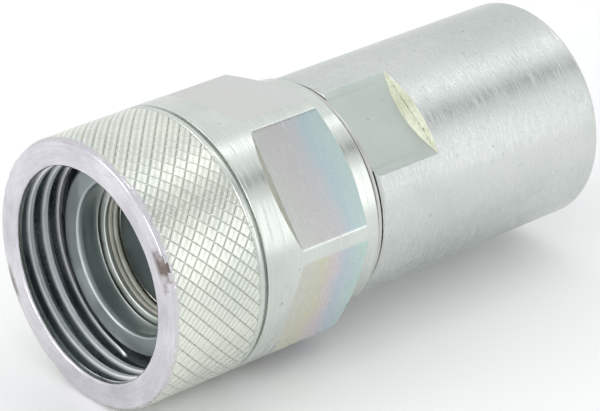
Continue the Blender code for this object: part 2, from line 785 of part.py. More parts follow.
def make_spring(base, top):
    count = SPRING_TURNS * SPRING_STEPS + 1
    radius = SPRING_MEAN_DIAMETER / 2
    curve = bpy.data.curves.new("valve_spring", "CURVE")
    curve.dimensions = "3D"
    curve.bevel_depth = SPRING_WIRE / 2 - WIRE_GAP
    curve.bevel_resolution = 2
    curve.use_fill_caps = True
    spline = curve.splines.new("POLY")
    spline.points.add(count - 1)
    first = base + FIT + SPRING_WIRE / 2
    last = top - FIT - SPRING_WIRE / 2
    for i, point in enumerate(spline.points):
        angle = 2 * math.pi * i / SPRING_STEPS
        height = spring_height(i / SPRING_STEPS, first, last)
        point.co = (radius * math.cos(angle), radius * math.sin(angle), height, 1.0)
    raw = bpy.data.objects.new("valve_spring_path", curve)
    bpy.context.scene.collection.objects.link(raw)
    mesh = applied(raw)
    mesh.shade_smooth()
    place(bpy.data.objects.new("valve_spring", mesh), PARTS, SPRING_STEEL)


make_nut()
make_front_body()
make_seat()
spring_top = make_poppet()
make_rear_body()
spring_base = make_guide()
make_spring(spring_base, spring_top)
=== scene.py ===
# %% [markdown]
# # A screw-to-connect hydraulic coupler
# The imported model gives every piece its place. This script keeps those places and gives each piece its
# finish: turned and knurled steel under bright zinc plating, with threads, seals and a spring.
# The mouth looks along -Y and the port's face lies at y = 0, so a place along the coupler is a depth from
# the mouth or a height above the port.

# %% Load the frame
import math

import bmesh
import bpy
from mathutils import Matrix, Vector


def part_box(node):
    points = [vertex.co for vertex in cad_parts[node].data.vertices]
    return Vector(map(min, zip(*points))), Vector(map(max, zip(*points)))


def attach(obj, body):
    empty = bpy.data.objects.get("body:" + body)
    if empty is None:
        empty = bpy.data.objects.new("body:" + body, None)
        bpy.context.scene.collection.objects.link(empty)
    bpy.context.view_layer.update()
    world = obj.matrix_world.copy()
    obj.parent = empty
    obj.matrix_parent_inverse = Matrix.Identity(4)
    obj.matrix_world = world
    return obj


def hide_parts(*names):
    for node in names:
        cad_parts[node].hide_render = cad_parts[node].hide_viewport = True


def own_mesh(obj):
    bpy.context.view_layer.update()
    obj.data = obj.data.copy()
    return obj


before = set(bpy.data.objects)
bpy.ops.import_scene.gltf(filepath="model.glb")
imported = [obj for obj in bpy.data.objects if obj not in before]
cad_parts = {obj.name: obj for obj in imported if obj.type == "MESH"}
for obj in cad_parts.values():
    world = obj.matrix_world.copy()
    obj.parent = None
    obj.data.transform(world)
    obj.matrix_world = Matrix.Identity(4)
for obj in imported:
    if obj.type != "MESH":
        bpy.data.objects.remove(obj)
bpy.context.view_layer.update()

# %% [markdown]
# ## Sizes
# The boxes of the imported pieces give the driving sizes. What a box can't tell, such as the depth of an
# undercut, is named here in millimetres, and every outline below is worked out from these values.

# %% Sizes read from the frame
MM = 0.001


def depth_of(y):
    """Millimetres behind the mouth."""
    return (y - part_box("coupling_nut")[0].y) / MM


def height_of(y):
    """Millimetres above the port's face."""
    return -y / MM


NUT_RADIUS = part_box("coupling_nut")[1].x / MM
CELLS_ROUND = 52
CELL_LENGTH = 2.58
NUT_REAR = depth_of(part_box("coupling_nut")[1].y)
MOUTH_HEIGHT = height_of(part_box("coupling_nut")[0].y)
BODY_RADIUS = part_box("rear_body")[1].x / MM
SPIGOT_TOP = height_of(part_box("rear_body")[0].y)
FIT = 0.3
HEX_FLAT = 20.5
HEX_TURN = math.radians(37.75)
HEX_FRONT = 26.8
HEX_REAR = 40.6
BODY_FRONT = height_of(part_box("front_body")[1].y) - FIT
RIM_PEAK = NUT_RADIUS - 2.2
THREAD_CREST = 18.3
PORT_MINOR = 12.06
print("nut radius", round(NUT_RADIUS, 2), "nut length", round(NUT_REAR, 2))
print("body radius", round(BODY_RADIUS, 2))

# %% [markdown]
# ## Node trees in a few words
# Materials and geometry trees are both built from nodes. This small helper adds a node, sets its options
# and fills its inputs, each either with a plain value or with a link from an earlier node's output.

# %% A helper that builds node trees


class Graph:
    def __init__(self, tree):
        self.tree = tree

    def add(self, kind, inputs=None, **settings):
        node = self.tree.nodes.new(kind)
        for key, value in settings.items():
            setattr(node, key, value)
        for key, value in (inputs or {}).items():
            if isinstance(value, bpy.types.NodeSocket):
                self.tree.links.new(value, node.inputs[key])
            else:
                node.inputs[key].default_value = value
        return node

    def math(self, operation, first, second=0.0, third=0.0, clamp=False):
        inputs = {0: first, 1: second, 2: third}
        return self.add("ShaderNodeMath", inputs, operation=operation, use_clamp=clamp).outputs[0]

    def plus(self, first, second, clamp=False):
        return self.math("ADD", first, second, clamp=clamp)

    def minus(self, first, second):
        return self.math("SUBTRACT", first, second)

    def times(self, first, second):
        return self.math("MULTIPLY", first, second)

    def span(self, value, low, high, start=0.0, end=1.0):
        """The value remapped from low..high to start..end, and held there beyond."""
        inputs = {"Value": value, "From Min": low, "From Max": high, "To Min": start, "To Max": end}
        return self.add("ShaderNodeMapRange", inputs).outputs[0]

    def split(self, vector):
        return self.add("ShaderNodeSeparateXYZ", {0: vector}).outputs

    def join(self, x, y, z):
        return self.add("ShaderNodeCombineXYZ", {0: x, 1: y, 2: z}).outputs[0]

    def radius(self, across, up):
        return self.math("SQRT", self.plus(self.times(across, across), self.times(up, up)))


# %% Helpers for the materials


def linear(*srgb):
    """A screen colour, 0 to 255 a channel, as the linear colour a shader takes."""
    return tuple(pow(channel / 255.0, 2.2) for channel in srgb) + (1.0,)


def new_surface(name, roughness, metallic=1.0):
    material = bpy.data.materials.new(name)
    material.use_nodes = True
    shader = material.node_tree.nodes["Principled BSDF"]
    shader.inputs["Roughness"].default_value = roughness
    shader.inputs["Metallic"].default_value = metallic
    return material, Graph(material.node_tree), shader


def place_in(graph):
    return graph.add("ShaderNodeTexCoord").outputs["Object"]


def noise(graph, vector, across, along, detail=3.0, roughness=0.55):
    """Noise with one size across X and Z and another along Y, both in repeats to the metre."""
    mapped = graph.add("ShaderNodeMapping", {"Vector": vector, "Scale": (across, along, across)}).outputs[0]
    inputs = {"Vector": mapped, "Scale": 1.0, "Detail": detail, "Roughness": roughness}
    return graph.add("ShaderNodeTexNoise", inputs).outputs["Fac"]


def blend(graph, factor, first, second):
    node = graph.add("ShaderNodeMix", data_type="RGBA")
    for key, value in ((0, factor), (6, first), (7, second)):
        if isinstance(value, bpy.types.NodeSocket):
            graph.tree.links.new(value, node.inputs[key])
        else:
            node.inputs[key].default_value = value
    return node.outputs[2]


def ramp(graph, factor, stops):
    node = graph.add("ShaderNodeValToRGB", {0: factor})
    elements = node.color_ramp.elements
    while len(elements) < len(stops):
        elements.new(0.5)
    for element, (position, colour) in zip(elements, stops):
        element.position = position
        element.color = colour
    return node.outputs[0]


def bump(graph, shader, height, strength, distance):
    inputs = {"Height": height, "Strength": strength, "Distance": distance}
    graph.tree.links.new(graph.add("ShaderNodeBump", inputs).outputs[0], shader.inputs["Normal"])


def connect(graph, output, shader, socket):
    graph.tree.links.new(output, shader.inputs[socket])


# %% [markdown]
# ## The plated finishes
# Zinc plating is a bright grey metal with a thin clear film on it. The film shifts the grey a little to
# green, and on flat milled faces it shows bands of lavender, teal, yellow and pink. The film could be a
# thin-film shader, but that changes with the view, so slow noise over a few plating colours is used.
# Turning leaves fine rings: noise that is stretched round the axis, thousands of times finer along it,
# goes to both the bump and the roughness, which is what breaks a highlight into short bright scratches.

# %% Plating: a general turned finish


def turned_zinc(name, light, dark, roughness=0.30, ring=2600.0, ring_depth=0.00002, scratches=0.3,
                length=55.0):
    """Turned metal: its rings are ring repeats to the metre along the axis and length round it."""
    material, graph, shader = new_surface(name, roughness)
    place = place_in(graph)
    cloud = noise(graph, place, 70.0, 45.0, 4.0)
    rings = noise(graph, place, length, ring, 3.0, 0.7)
    colour = blend(graph, graph.span(cloud, 0.35, 0.68), dark, light)
    streaks = graph.span(rings, 0.58, 0.74, 0.0, scratches)
    colour = blend(graph, streaks, colour, tuple(min(1.0, c * 1.3) for c in light[:3]) + (1.0,))
    pits = graph.span(noise(graph, place, 900.0, 900.0, 2.0), 0.24, 0.29, 1.0, 0.0)
    colour = blend(graph, graph.times(pits, 0.5), colour, linear(110, 108, 100))
    connect(graph, colour, shader, "Base Color")
    wander = graph.times(graph.minus(rings, 0.5), 0.34)
    connect(graph, graph.plus(graph.plus(wander, roughness), streaks, clamp=True), shader, "Roughness")
    bump(graph, shader, graph.plus(rings, graph.times(cloud, 0.6)), 0.55, ring_depth)
    return material


ZINC_LIGHT = linear(214, 219, 213)
ZINC_DARK = linear(196, 202, 196)
collar_zinc = turned_zinc("collar_zinc", ZINC_LIGHT, ZINC_DARK, roughness=0.27, ring=1600.0,
                          ring_depth=0.00004, scratches=0.4, length=90.0)
body_zinc = turned_zinc("body_zinc", linear(210, 214, 211), linear(196, 202, 198), roughness=0.29,
                        ring=3400.0, ring_depth=0.0002, scratches=0.9, length=270.0)
flat_zinc = turned_zinc("spanner_flat_zinc", linear(190, 198, 192), linear(180, 189, 183),
                        roughness=0.40, ring=260.0, ring_depth=0.00001, scratches=0.1)
print("turned finishes made")

# %% Plating: the rim and the land behind it


def rim_with_painted_reflection(name):
    """The rim is handled most: its lavender plating is lighter in places, and a ragged brown band across its
    outer part is a painted reflection.
    """
    material, graph, shader = new_surface(name, 0.2)
    place = place_in(graph)
    x, _, z = graph.split(place)
    cloud = noise(graph, place, 120.0, 120.0, 4.0, 0.6)
    fine = noise(graph, place, 900.0, 900.0, 3.0, 0.7)
    across = graph.times(graph.radius(x, z), 2600.0)
    around = graph.times(graph.math("ARCTAN2", z, x), 5.0)
    inputs = {"Vector": graph.join(across, around, 0.0), "Scale": 1.0, "Detail": 2.0}
    facing = graph.add("ShaderNodeTexNoise", inputs).outputs["Fac"]
    tone = graph.plus(graph.times(cloud, 0.7), graph.times(facing, 0.3))
    colour = blend(graph, graph.span(tone, 0.38, 0.62), linear(198, 195, 201), linear(224, 222, 227))
    # Painted reflection: a ragged brown band across the rim's outer part, at one place round it.
    level = graph.math("ABSOLUTE", graph.minus(z, graph.times(x, 0.46)))
    patchy = noise(graph, place, 420.0, 420.0, 5.0, 0.65)
    brown_reflection = graph.minus(graph.span(level, 0.0, 8.0 * MM, 1.2, 0.0), graph.times(patchy, 1.3))
    outer = graph.span(graph.radius(x, z), (RIM_PEAK - 0.3) * MM, (RIM_PEAK + 0.5) * MM)
    brown_reflection = graph.times(graph.span(brown_reflection, 0.0, 0.35, 0.0, 0.85), outer)
    colour = blend(graph, brown_reflection, colour, linear(96, 80, 66))
    connect(graph, colour, shader, "Base Color")
    connect(graph, graph.span(fine, 0.3, 0.7, 0.14, 0.30), shader, "Roughness")
    bump(graph, shader, graph.plus(fine, graph.times(facing, 2.0)), 0.6, 0.00006)
    return material


rim_zinc = rim_with_painted_reflection("rim_zinc")
land_zinc = turned_zinc("mouth_land_zinc", linear(196, 204, 206), linear(168, 172, 166), 0.24, 700.0)

# %% Plating: the iridescent hexagon


def rainbow_zinc(name):
    material, graph, shader = new_surface(name, 0.30)
    place = place_in(graph)
    x, y, z = graph.split(place)
    drift = noise(graph, place, 45.0, 45.0, 3.0)
    film = graph.span(y, (HEX_FRONT - MOUTH_HEIGHT) * MM, (HEX_REAR + 2.0 - MOUTH_HEIGHT) * MM)
    film = graph.plus(film, graph.times(graph.minus(drift, 0.5), 0.9))

    def on_face(turn):
        """1 on the hexagon's face whose middle lies at this angle, 0 on the others."""
        reach = graph.plus(graph.times(x, math.cos(turn)), graph.times(z, math.sin(turn)))
        return graph.span(reach, (HEX_FLAT - 0.3) * MM, (HEX_FLAT - 0.08) * MM)

    upper = ramp(graph, film, (
        (0.0, linear(188, 191, 187)),
        (0.48, linear(186, 185, 184)),
        (0.68, linear(184, 187, 189)),
        (0.86, linear(174, 190, 195)),
        (1.0, linear(178, 196, 194)),
    ))
    lower = ramp(graph, film, (
        (0.0, linear(217, 218, 207)),
        (0.32, linear(219, 218, 196)),
        (0.50, linear(222, 212, 214)),
        (0.68, linear(200, 211, 222)),
        (1.0, linear(202, 226, 218)),
    ))
    colour = blend(graph, on_face(HEX_TURN - math.pi / 3), upper, lower)
    colour = blend(graph, graph.times(on_face(HEX_TURN + math.pi / 3), 0.85), colour, linear(212, 213, 209))
    hatch = noise(graph, place, 260.0, 1700.0, 3.0, 0.7)
    colour = blend(graph, graph.span(hatch, 0.60, 0.78, 0.0, 0.45), colour, linear(232, 234, 236))
    connect(graph, colour, shader, "Base Color")
    connect(graph, graph.span(hatch, 0.3, 0.7, 0.22, 0.38), shader, "Roughness")
    bump(graph, shader, graph.plus(hatch, drift), 0.35, 0.00002)
    return material


hex_zinc = rainbow_zinc("iridescent_zinc")

# %% Plating: the knurl and the rough cone at the end of the spanner flats


def knurl_zinc(name, root, crown):
    """Knurl plating: painted shade at the root of the knurl, and the fine second line that one wheel leaves,
    drawn as a painted highlight beside painted shade.
    """
    material, graph, shader = new_surface(name, 0.28)
    place = place_in(graph)
    x, y, z = graph.split(place)
    lift = graph.span(graph.radius(x, z), root * MM, crown * MM)
    cloud = noise(graph, place, 90.0, 90.0, 4.0)
    grain = noise(graph, place, 1500.0, 1500.0, 3.0, 0.7)
    crown_colour = blend(graph, graph.span(cloud, 0.38, 0.64), linear(208, 214, 205), linear(228, 231, 219))
    crown_colour = blend(graph, graph.span(grain, 0.56, 0.76, 0.0, 0.6), crown_colour, linear(243, 245, 241))
    turn = graph.math("ARCTAN2", z, x)
    phase = graph.minus(graph.times(y, 4 * math.pi / (CELL_LENGTH * MM)),
                        graph.times(turn, 2.0 * CELLS_ROUND))
    # The wheel's fine second line: its bright part is a painted highlight and the dark band beside it is
    # painted shade; the line also goes to the bump.
    wave = graph.minus(graph.times(grain, 0.8), graph.math("COSINE", phase))
    line = graph.span(wave, 1.05, 1.4)
    crown_colour = blend(graph, graph.times(line, 0.6), crown_colour, linear(252, 253, 248))
    shade = graph.span(wave, -0.55, -0.1, 0.38, 0.0)
    crown_colour = blend(graph, shade, crown_colour, linear(172, 177, 167))
    # Painted shade: the knurl's root gets a darker colour than its crowns.
    colour = blend(graph, lift, linear(204, 207, 200), crown_colour)
    rolled = graph.plus(y, graph.times(graph.minus(cloud, 0.5), 3.0 * MM))
    cell = graph.times(graph.math("COSINE", graph.times(turn, 1.0 * CELLS_ROUND)), 0.22 * MM)
    rolled = graph.span(graph.plus(rolled, cell), (0.95 - MOUTH_HEIGHT) * MM, (1.15 - MOUTH_HEIGHT) * MM)
    colour = blend(graph, rolled, linear(208, 205, 211), colour)
    connect(graph, colour, shader, "Base Color")
    connect(graph, graph.span(grain, 0.3, 0.7, 0.22, 0.40), shader, "Roughness")
    bump(graph, shader, graph.plus(grain, graph.times(line, 0.8)), 0.5, 0.00004)
    return material


def rough_zinc(name, light, dark, grain_size=1100.0):
    material, graph, shader = new_surface(name, 0.45)
    place = place_in(graph)
    grain = noise(graph, place, grain_size, grain_size, 4.0, 0.75)
    colour = blend(graph, graph.span(grain, 0.36, 0.64), dark, light)
    connect(graph, colour, shader, "Base Color")
    connect(graph, graph.span(grain, 0.3, 0.7, 0.34, 0.56), shader, "Roughness")
    bump(graph, shader, grain, 0.8, 0.00008)
    return material


knurled_zinc = knurl_zinc("knurled_zinc", NUT_RADIUS - 0.19, NUT_RADIUS - 0.05)
cone_zinc = turned_zinc("torn_cone_zinc", linear(232, 235, 218), linear(176, 182, 152), roughness=0.46,
                        ring=1700.0, ring_depth=0.0008, scratches=0.9, length=700.0)
shoulder_zinc = rough_zinc("shoulder_zinc", linear(212, 213, 200), linear(188, 189, 172), 1500.0)

# %% [markdown]
# ## Inside finishes
# Inside the mouth little light arrives. The threads there are painted darker and bluer as shade, with a
# painted highlight along each crest, the seat is painted near white as a highlight, and otherwise only edges
# shine.

# %% Inside finishes


def thread_zinc(name, crest):
    """A cut thread painted dark as shade, with a painted highlight along its crest."""
    material, graph, shader = new_surface(name, 0.24)
    place = place_in(graph)
    x, _, z = graph.split(place)
    cloud = noise(graph, place, 150.0, 150.0, 3.0)
    fine = noise(graph, place, 300.0, 1800.0, 3.0, 0.7)
    # Painted light: the thread is painted dark as shade, and a band at the crest radius is painted near
    # white as a highlight.
    off_crest = graph.math("ABSOLUTE", graph.minus(graph.radius(x, z), crest * MM))
    crest_highlight = graph.span(off_crest, 0.25 * MM, 0.85 * MM, 1.0, 0.0)
    colour = blend(graph, graph.span(cloud, 0.36, 0.64), linear(128, 135, 137), linear(156, 163, 165))
    colour = blend(graph, crest_highlight, colour, linear(250, 251, 253))
    connect(graph, colour, shader, "Base Color")
    gloss = graph.plus(graph.span(fine, 0.3, 0.7, 0.24, 0.34), graph.times(crest_highlight, 0.18))
    connect(graph, gloss, shader, "Roughness")
    bump(graph, shader, fine, 0.25, 0.00001)
    return material


thread_steel = thread_zinc("thread_steel", THREAD_CREST)
port_steel = thread_zinc("port_thread_steel", PORT_MINOR)
nose_steel = turned_zinc("nose_steel", linear(196, 204, 204), linear(166, 176, 176), 0.34, 900.0)
# The seat is painted near white: a painted highlight, so that it reads as lit deep in the mouth.
seat_highlight_steel = turned_zinc("seat_highlight_steel", linear(250, 251, 246), linear(228, 230, 220), 0.36, 1600.0)
poppet_steel = turned_zinc("poppet_steel", linear(112, 122, 122), linear(92, 102, 102), 0.46, 300.0)
hidden_steel = turned_zinc("bright_inner_steel", linear(206, 206, 202), linear(184, 184, 180), 0.28, 1400.0)
spring_steel = turned_zinc("spring_steel", linear(150, 150, 150), linear(120, 120, 122), 0.30, 800.0)
bronze = turned_zinc("sintered_bronze", linear(196, 160, 104), linear(160, 126, 78), 0.42, 900.0)


def soft_material(name, light, dark, roughness, grain_size):
    """A seal or bush: no metal, with fine moulded grain and a slow change of tone."""
    material, graph, shader = new_surface(name, roughness, 0.0)
    place = place_in(graph)
    grain = noise(graph, place, grain_size, grain_size, 4.0, 0.7)
    cloud = noise(graph, place, 120.0, 120.0, 3.0)
    connect(graph, blend(graph, graph.span(cloud, 0.35, 0.65), dark, light), shader, "Base Color")
    connect(graph, graph.span(grain, 0.3, 0.7, roughness - 0.08, roughness + 0.1), shader, "Roughness")
    bump(graph, shader, grain, 0.4, 0.00003)
    return material


rubber = soft_material("nitrile_rubber", linear(38, 38, 40), linear(24, 24, 26), 0.55, 2200.0)
ptfe = soft_material("ptfe", linear(230, 228, 216), linear(206, 203, 190), 0.5, 1500.0)
urethane = soft_material("polyurethane", linear(226, 229, 214), linear(168, 171, 156), 0.40, 1300.0)
print("materials:", len(bpy.data.materials))

# %% [markdown]
# ## Turned pieces
# A lathe makes a round piece by sweeping one outline about the axis. A Spin or Screw does that too, but
# the nut and the body are round in one place and flat in another. So each is built from columns: one
# section outline for each angle about the axis, all with the same number of points, and every column holds
# its own exact section. An edge then follows the true curve, with no cutting and no thin slivers.

# %% A helper that puts an object into the scene


def added(name, data):
    obj = bpy.data.objects.new(name, data)
    bpy.context.scene.collection.objects.link(obj)
    return obj


# %% Outlines with rounded corners
ARC_STEPS = 3


def rounded(points):
    """An outline of (radius, y, corner radius, slot) points, each corner made an arc."""
    outline = []
    for index, (r, y, corner, slot) in enumerate(points):
        here = Vector((r, y))
        if not corner:
            outline.append((r, y, slot))
            continue
        back = Vector(points[index - 1][:2]) - here
        ahead = Vector(points[(index + 1) % len(points)][:2]) - here
        if min(back.length, ahead.length) < 1e-9:
            reach = 0.0
        else:
            half = max(0.2, back.angle(ahead, math.pi) / 2)
            reach = min(corner / math.tan(half), 0.45 * back.length, 0.45 * ahead.length)
        start = here + (back.normalized() * reach if reach else Vector((0.0, 0.0)))
        end = here + (ahead.normalized() * reach if reach else Vector((0.0, 0.0)))
        for step in range(ARC_STEPS + 1):
            t = step / ARC_STEPS
            spot = start * (1 - t) ** 2 + here * 2 * t * (1 - t) + end * t ** 2
            outline.append((spot.x, spot.y, slot))
    return outline


# %% A body from its columns


def smooth_by_area(obj):
    """Big faces keep their true shading and narrow bevels take the bend, by Weighted Normal."""
    obj.data.shade_smooth()
    obj.data.set_sharp_from_angle(angle=math.radians(38.0))
    modifier = obj.modifiers.new("even_shading", "WEIGHTED_NORMAL")
    modifier.keep_sharp = True
    return as_plain_mesh(obj)


def as_plain_mesh(obj):
    """The object with its modifiers' result as its own mesh."""
    graph = bpy.context.evaluated_depsgraph_get()
    mesh = bpy.data.meshes.new_from_object(obj.evaluated_get(graph))
    obj.modifiers.clear()
    obj.data = mesh
    return obj


def from_columns(name, angles, column, materials):
    """A closed piece from one outline of (radius, y, slot) points, in millimetres, for each angle."""
    verts = []
    slots = []
    for angle in angles:
        outline = column(angle)
        slots += [slot for _, _, slot in outline]
        verts += [(r * math.cos(angle) * MM, y * MM, r * math.sin(angle) * MM) for r, y, _ in outline]
    count = len(slots) // len(angles)
    faces = []
    for i in range(len(angles)):
        one = i * count
        two = (i + 1) % len(angles) * count
        faces += [(one + j, one + (j + 1) % count, two + (j + 1) % count, two + j) for j in range(count)]
    mesh = bpy.data.meshes.new(name)
    mesh.from_pydata(verts, [], faces)
    mesh.polygons.foreach_set("material_index", slots)
    for material in materials:
        mesh.materials.append(material)
    work = bmesh.new()
    work.from_mesh(mesh)
    bmesh.ops.remove_doubles(work, verts=work.verts, dist=1e-6)
    bmesh.ops.dissolve_degenerate(work, edges=work.edges, dist=1e-7)
    bmesh.ops.recalc_face_normals(work, faces=work.faces)
    work.to_mesh(mesh)
    work.free()
    obj = added(name, mesh)
    bpy.context.view_layer.update()
    print(name, "faces:", len(mesh.polygons))
    return smooth_by_area(obj)


def even_angles(count):
    return [2 * math.pi * i / count for i in range(count)]


def crowded_angles(count, edges):
    """Even angles, with more of them close to each edge angle."""
    close = [math.radians(step) for step in (-1.2, -0.7, -0.4, -0.2, 0.0, 0.2, 0.4, 0.7, 1.2)]
    found = even_angles(count) + [(edge + step) % (2 * math.pi) for edge in edges for step in close]
    kept = []
    for angle in sorted(found):
        if not kept or angle - kept[-1] > math.radians(0.08):
            kept.append(angle)
    return kept


def soft_min(first, second, width):
    """The smaller of two lengths, with the change between them rounded over a width."""
    mix = min(1.0, max(0.0, 0.5 + 0.5 * (second - first) / width))
    return second * (1 - mix) + first * mix - width * mix * (1 - mix)


def off_nearest(angle, first, spacing):
    """How far an angle is from the nearest of several evenly spaced ones."""
    return (angle - first + spacing / 2) % spacing - spacing / 2


# %% [markdown]
# ## The coupling nut
# One steel piece: a rim, a knurled band, a bead, an undercut, a round collar, a hexagon and a short rear
# collar outside, and a thread, a relief and a bore inside. Each flat ends at the front in a sloped
# shoulder and at the rear in a turned chamfer, which together give the nut its curved edge lines.

# %% The nut's sizes
SHOULDER_RISE = math.tan(math.radians(48.0))
CHAMFER_RISE = math.tan(math.radians(30.0))
REAR_COLLAR = 20.1
KNURL_ROOT = NUT_RADIUS - 0.2
KNURL_FRONT = 1.0
STUD_FRONT = 0.55
STUD_OVERLAP = 0.25
KNURL_REAR = 17.7
BEAD_REAR = 18.6
UNDERCUT_REAR = 19.3
UNDERCUT = NUT_RADIUS - 0.8
THREAD_ROOT = 20.0
THREAD_END = 9.6
RELIEF_END = 12.0
MOUTH_LAND = 1.3
NUT_BORE = 18.4
REAR_BORE = 16.9
WIPER_GROOVE = 18.2
WIPER_FRONT = 42.2
WIPER_REAR = 44.4
RIM, ROOT, ROUND, SHOULDER, FLAT, INSIDE, LAND = range(7)

# %% The nut's section at an angle


def nut_column(angle):
    off = off_nearest(angle, HEX_TURN, math.pi / 3)
    land = soft_min(NUT_RADIUS, HEX_FLAT / math.cos(off), 0.12)
    face = FLAT if HEX_FLAT / math.cos(off) < NUT_RADIUS else ROUND
    shoulder = HEX_FRONT - max(0.0, NUT_RADIUS * math.cos(off) - HEX_FLAT) * SHOULDER_RISE
    chamfer = HEX_REAR + (NUT_RADIUS - land) * CHAMFER_RISE
    collar_front = HEX_REAR + (NUT_RADIUS - REAR_COLLAR) * CHAMFER_RISE
    points = [
        (RIM_PEAK, 0.0, 0.6, RIM),
        (NUT_RADIUS - 0.5, 0.42, 0.4, RIM),
        (KNURL_ROOT, KNURL_FRONT, 0.0, ROOT),
        (KNURL_ROOT, KNURL_REAR, 0.1, ROUND),
        (NUT_RADIUS, KNURL_REAR + 0.1, 0.25, ROUND),
        (NUT_RADIUS, BEAD_REAR, 0.3, ROUND),
        (UNDERCUT, BEAD_REAR + 0.1, 0.12, ROUND),
        (UNDERCUT, UNDERCUT_REAR - 0.1, 0.12, ROUND),
        (NUT_RADIUS, UNDERCUT_REAR, 0.2, ROUND),
        (NUT_RADIUS, shoulder, 0.1, SHOULDER),
        (land, HEX_FRONT, 0.12, face),
        (land, chamfer, 0.15, ROUND),
        (REAR_COLLAR, collar_front, 0.4, ROUND),
        (REAR_COLLAR, NUT_REAR - 0.5, 0.3, ROUND),
        (REAR_COLLAR - 0.6, NUT_REAR, 0.2, ROUND),
        (REAR_BORE, NUT_REAR, 0.15, INSIDE),
        (REAR_BORE, WIPER_REAR, 0.1, INSIDE),
        (WIPER_GROOVE, WIPER_REAR, 0.1, INSIDE),
        (WIPER_GROOVE, WIPER_FRONT, 0.1, INSIDE),
        (REAR_BORE, WIPER_FRONT, 0.1, INSIDE),
        (REAR_BORE, HEX_REAR, 0.1, INSIDE),
        (NUT_BORE, HEX_REAR, 0.1, INSIDE),
        (NUT_BORE, RELIEF_END, 0.15, INSIDE),
        (THREAD_ROOT + 0.3, RELIEF_END, 0.2, INSIDE),
        (THREAD_ROOT + 0.3, THREAD_END, 0.1, INSIDE),
        (THREAD_ROOT, THREAD_END, 0.0, INSIDE),
        (THREAD_ROOT, MOUTH_LAND + 0.6, 0.1, INSIDE),
        (THREAD_CREST, MOUTH_LAND, 0.1, LAND),
        (THREAD_CREST, 0.2, 0.9, RIM),
    ]
    return [(r, d - MOUTH_HEIGHT, slot) for r, d, slot in rounded(points)]


# %% The nut
half_flat = math.acos(HEX_FLAT / NUT_RADIUS)
hex_edges = [HEX_TURN + k * math.pi / 3 + side * half_flat for k in range(6) for side in (-1, 1)]
nut = from_columns("nut_of_zinc", crowded_angles(288, hex_edges), nut_column,
                   [rim_zinc, knurled_zinc, collar_zinc, shoulder_zinc, hex_zinc, thread_steel, land_zinc])
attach(nut, "nut")
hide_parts("coupling_nut")

# %% [markdown]
# ## The knurl
# A pair of wheels presses two sets of crossing grooves, 45 degrees each way, into the nut's band, and so
# leaves hundreds of small raised diamonds. They could be a bump texture, but the cells are nearly 2 mm
# wide and the light catches their edges, so they are real. Geometry Nodes repeat one small stud on
# two crossed lattices laid out flat, and then wrap the sheet round the nut. Where the band meets the rim
# the studs are held under the rim's slope, which gives the ragged edge that a pressed knurl has. Studs
# that reach past the band are cut off at its ends and capped, so that each one stays closed.

# %% Geometry Nodes: what every tree shares


def new_tree(name, sizes):
    """An empty geometry tree with a geometry output, and one named input for each size."""
    tree = bpy.data.node_groups.new(name, "GeometryNodeTree")
    tree.interface.new_socket(name="Geometry", in_out="OUTPUT", socket_type="NodeSocketGeometry")
    for label, value in sizes.items():
        kind = "NodeSocketInt" if isinstance(value, int) else "NodeSocketFloat"
        tree.interface.new_socket(name=label, in_out="INPUT", socket_type=kind)
    return tree, Graph(tree)


def cut_off(work, y, side):
    """Cuts everything on one side of a level off, and caps each shell that it went through."""
    parts = work.verts[:] + work.edges[:] + work.faces[:]
    cut = bmesh.ops.bisect_plane(work, geom=parts, dist=1e-8, plane_co=(0, y, 0), plane_no=(0, 1, 0),
                                 clear_inner=side < 0, clear_outer=side > 0)
    rims = [edge for edge in cut["geom_cut"] if isinstance(edge, bmesh.types.BMEdge) and edge.is_valid]
    bmesh.ops.holes_fill(work, edges=rims)


def grown(name, tree, sizes, material, front=None, rear=None):
    """The tree's result as a plain mesh: its inputs are set by their identifiers before it first runs."""
    obj = bpy.data.objects.new(name, bpy.data.meshes.new(name))
    modifier = obj.modifiers.new(name, "NODES")
    modifier.node_group = tree
    for item in tree.interface.items_tree:
        if item.item_type == "SOCKET" and item.in_out == "INPUT":
            modifier[item.identifier] = sizes[item.name]
    bpy.context.scene.collection.objects.link(obj)
    bpy.context.view_layer.update()
    as_plain_mesh(obj)
    obj.data.materials.clear()
    obj.data.materials.append(material)
    work = bmesh.new()
    work.from_mesh(obj.data)
    if front is not None:
        cut_off(work, front, -1)
    if rear is not None:
        cut_off(work, rear, 1)
    bmesh.ops.recalc_face_normals(work, faces=work.faces)
    work.to_mesh(obj.data)
    open_edges = sum(not edge.is_manifold for edge in work.edges)
    work.free()
    print(name, "faces:", len(obj.data.polygons), "open edges:", open_edges)
    return obj


# %% The knurl's tree
KNURL_SIZES = {
    "Cells round": CELLS_ROUND,
    "Rows": 8,
    "Cell width": 2 * math.pi * NUT_RADIUS / CELLS_ROUND * MM,
    "Cell length": CELL_LENGTH * MM,
    "Root radius": KNURL_ROOT * MM,
    "Height": (NUT_RADIUS - KNURL_ROOT) * MM,
    "Groove share": 0.085,
    "Mouth": -MOUTH_HEIGHT * MM,
    "Rim end": 1.4 * MM,
    "Bead start": KNURL_REAR * MM,
    "Seed": 7,
}


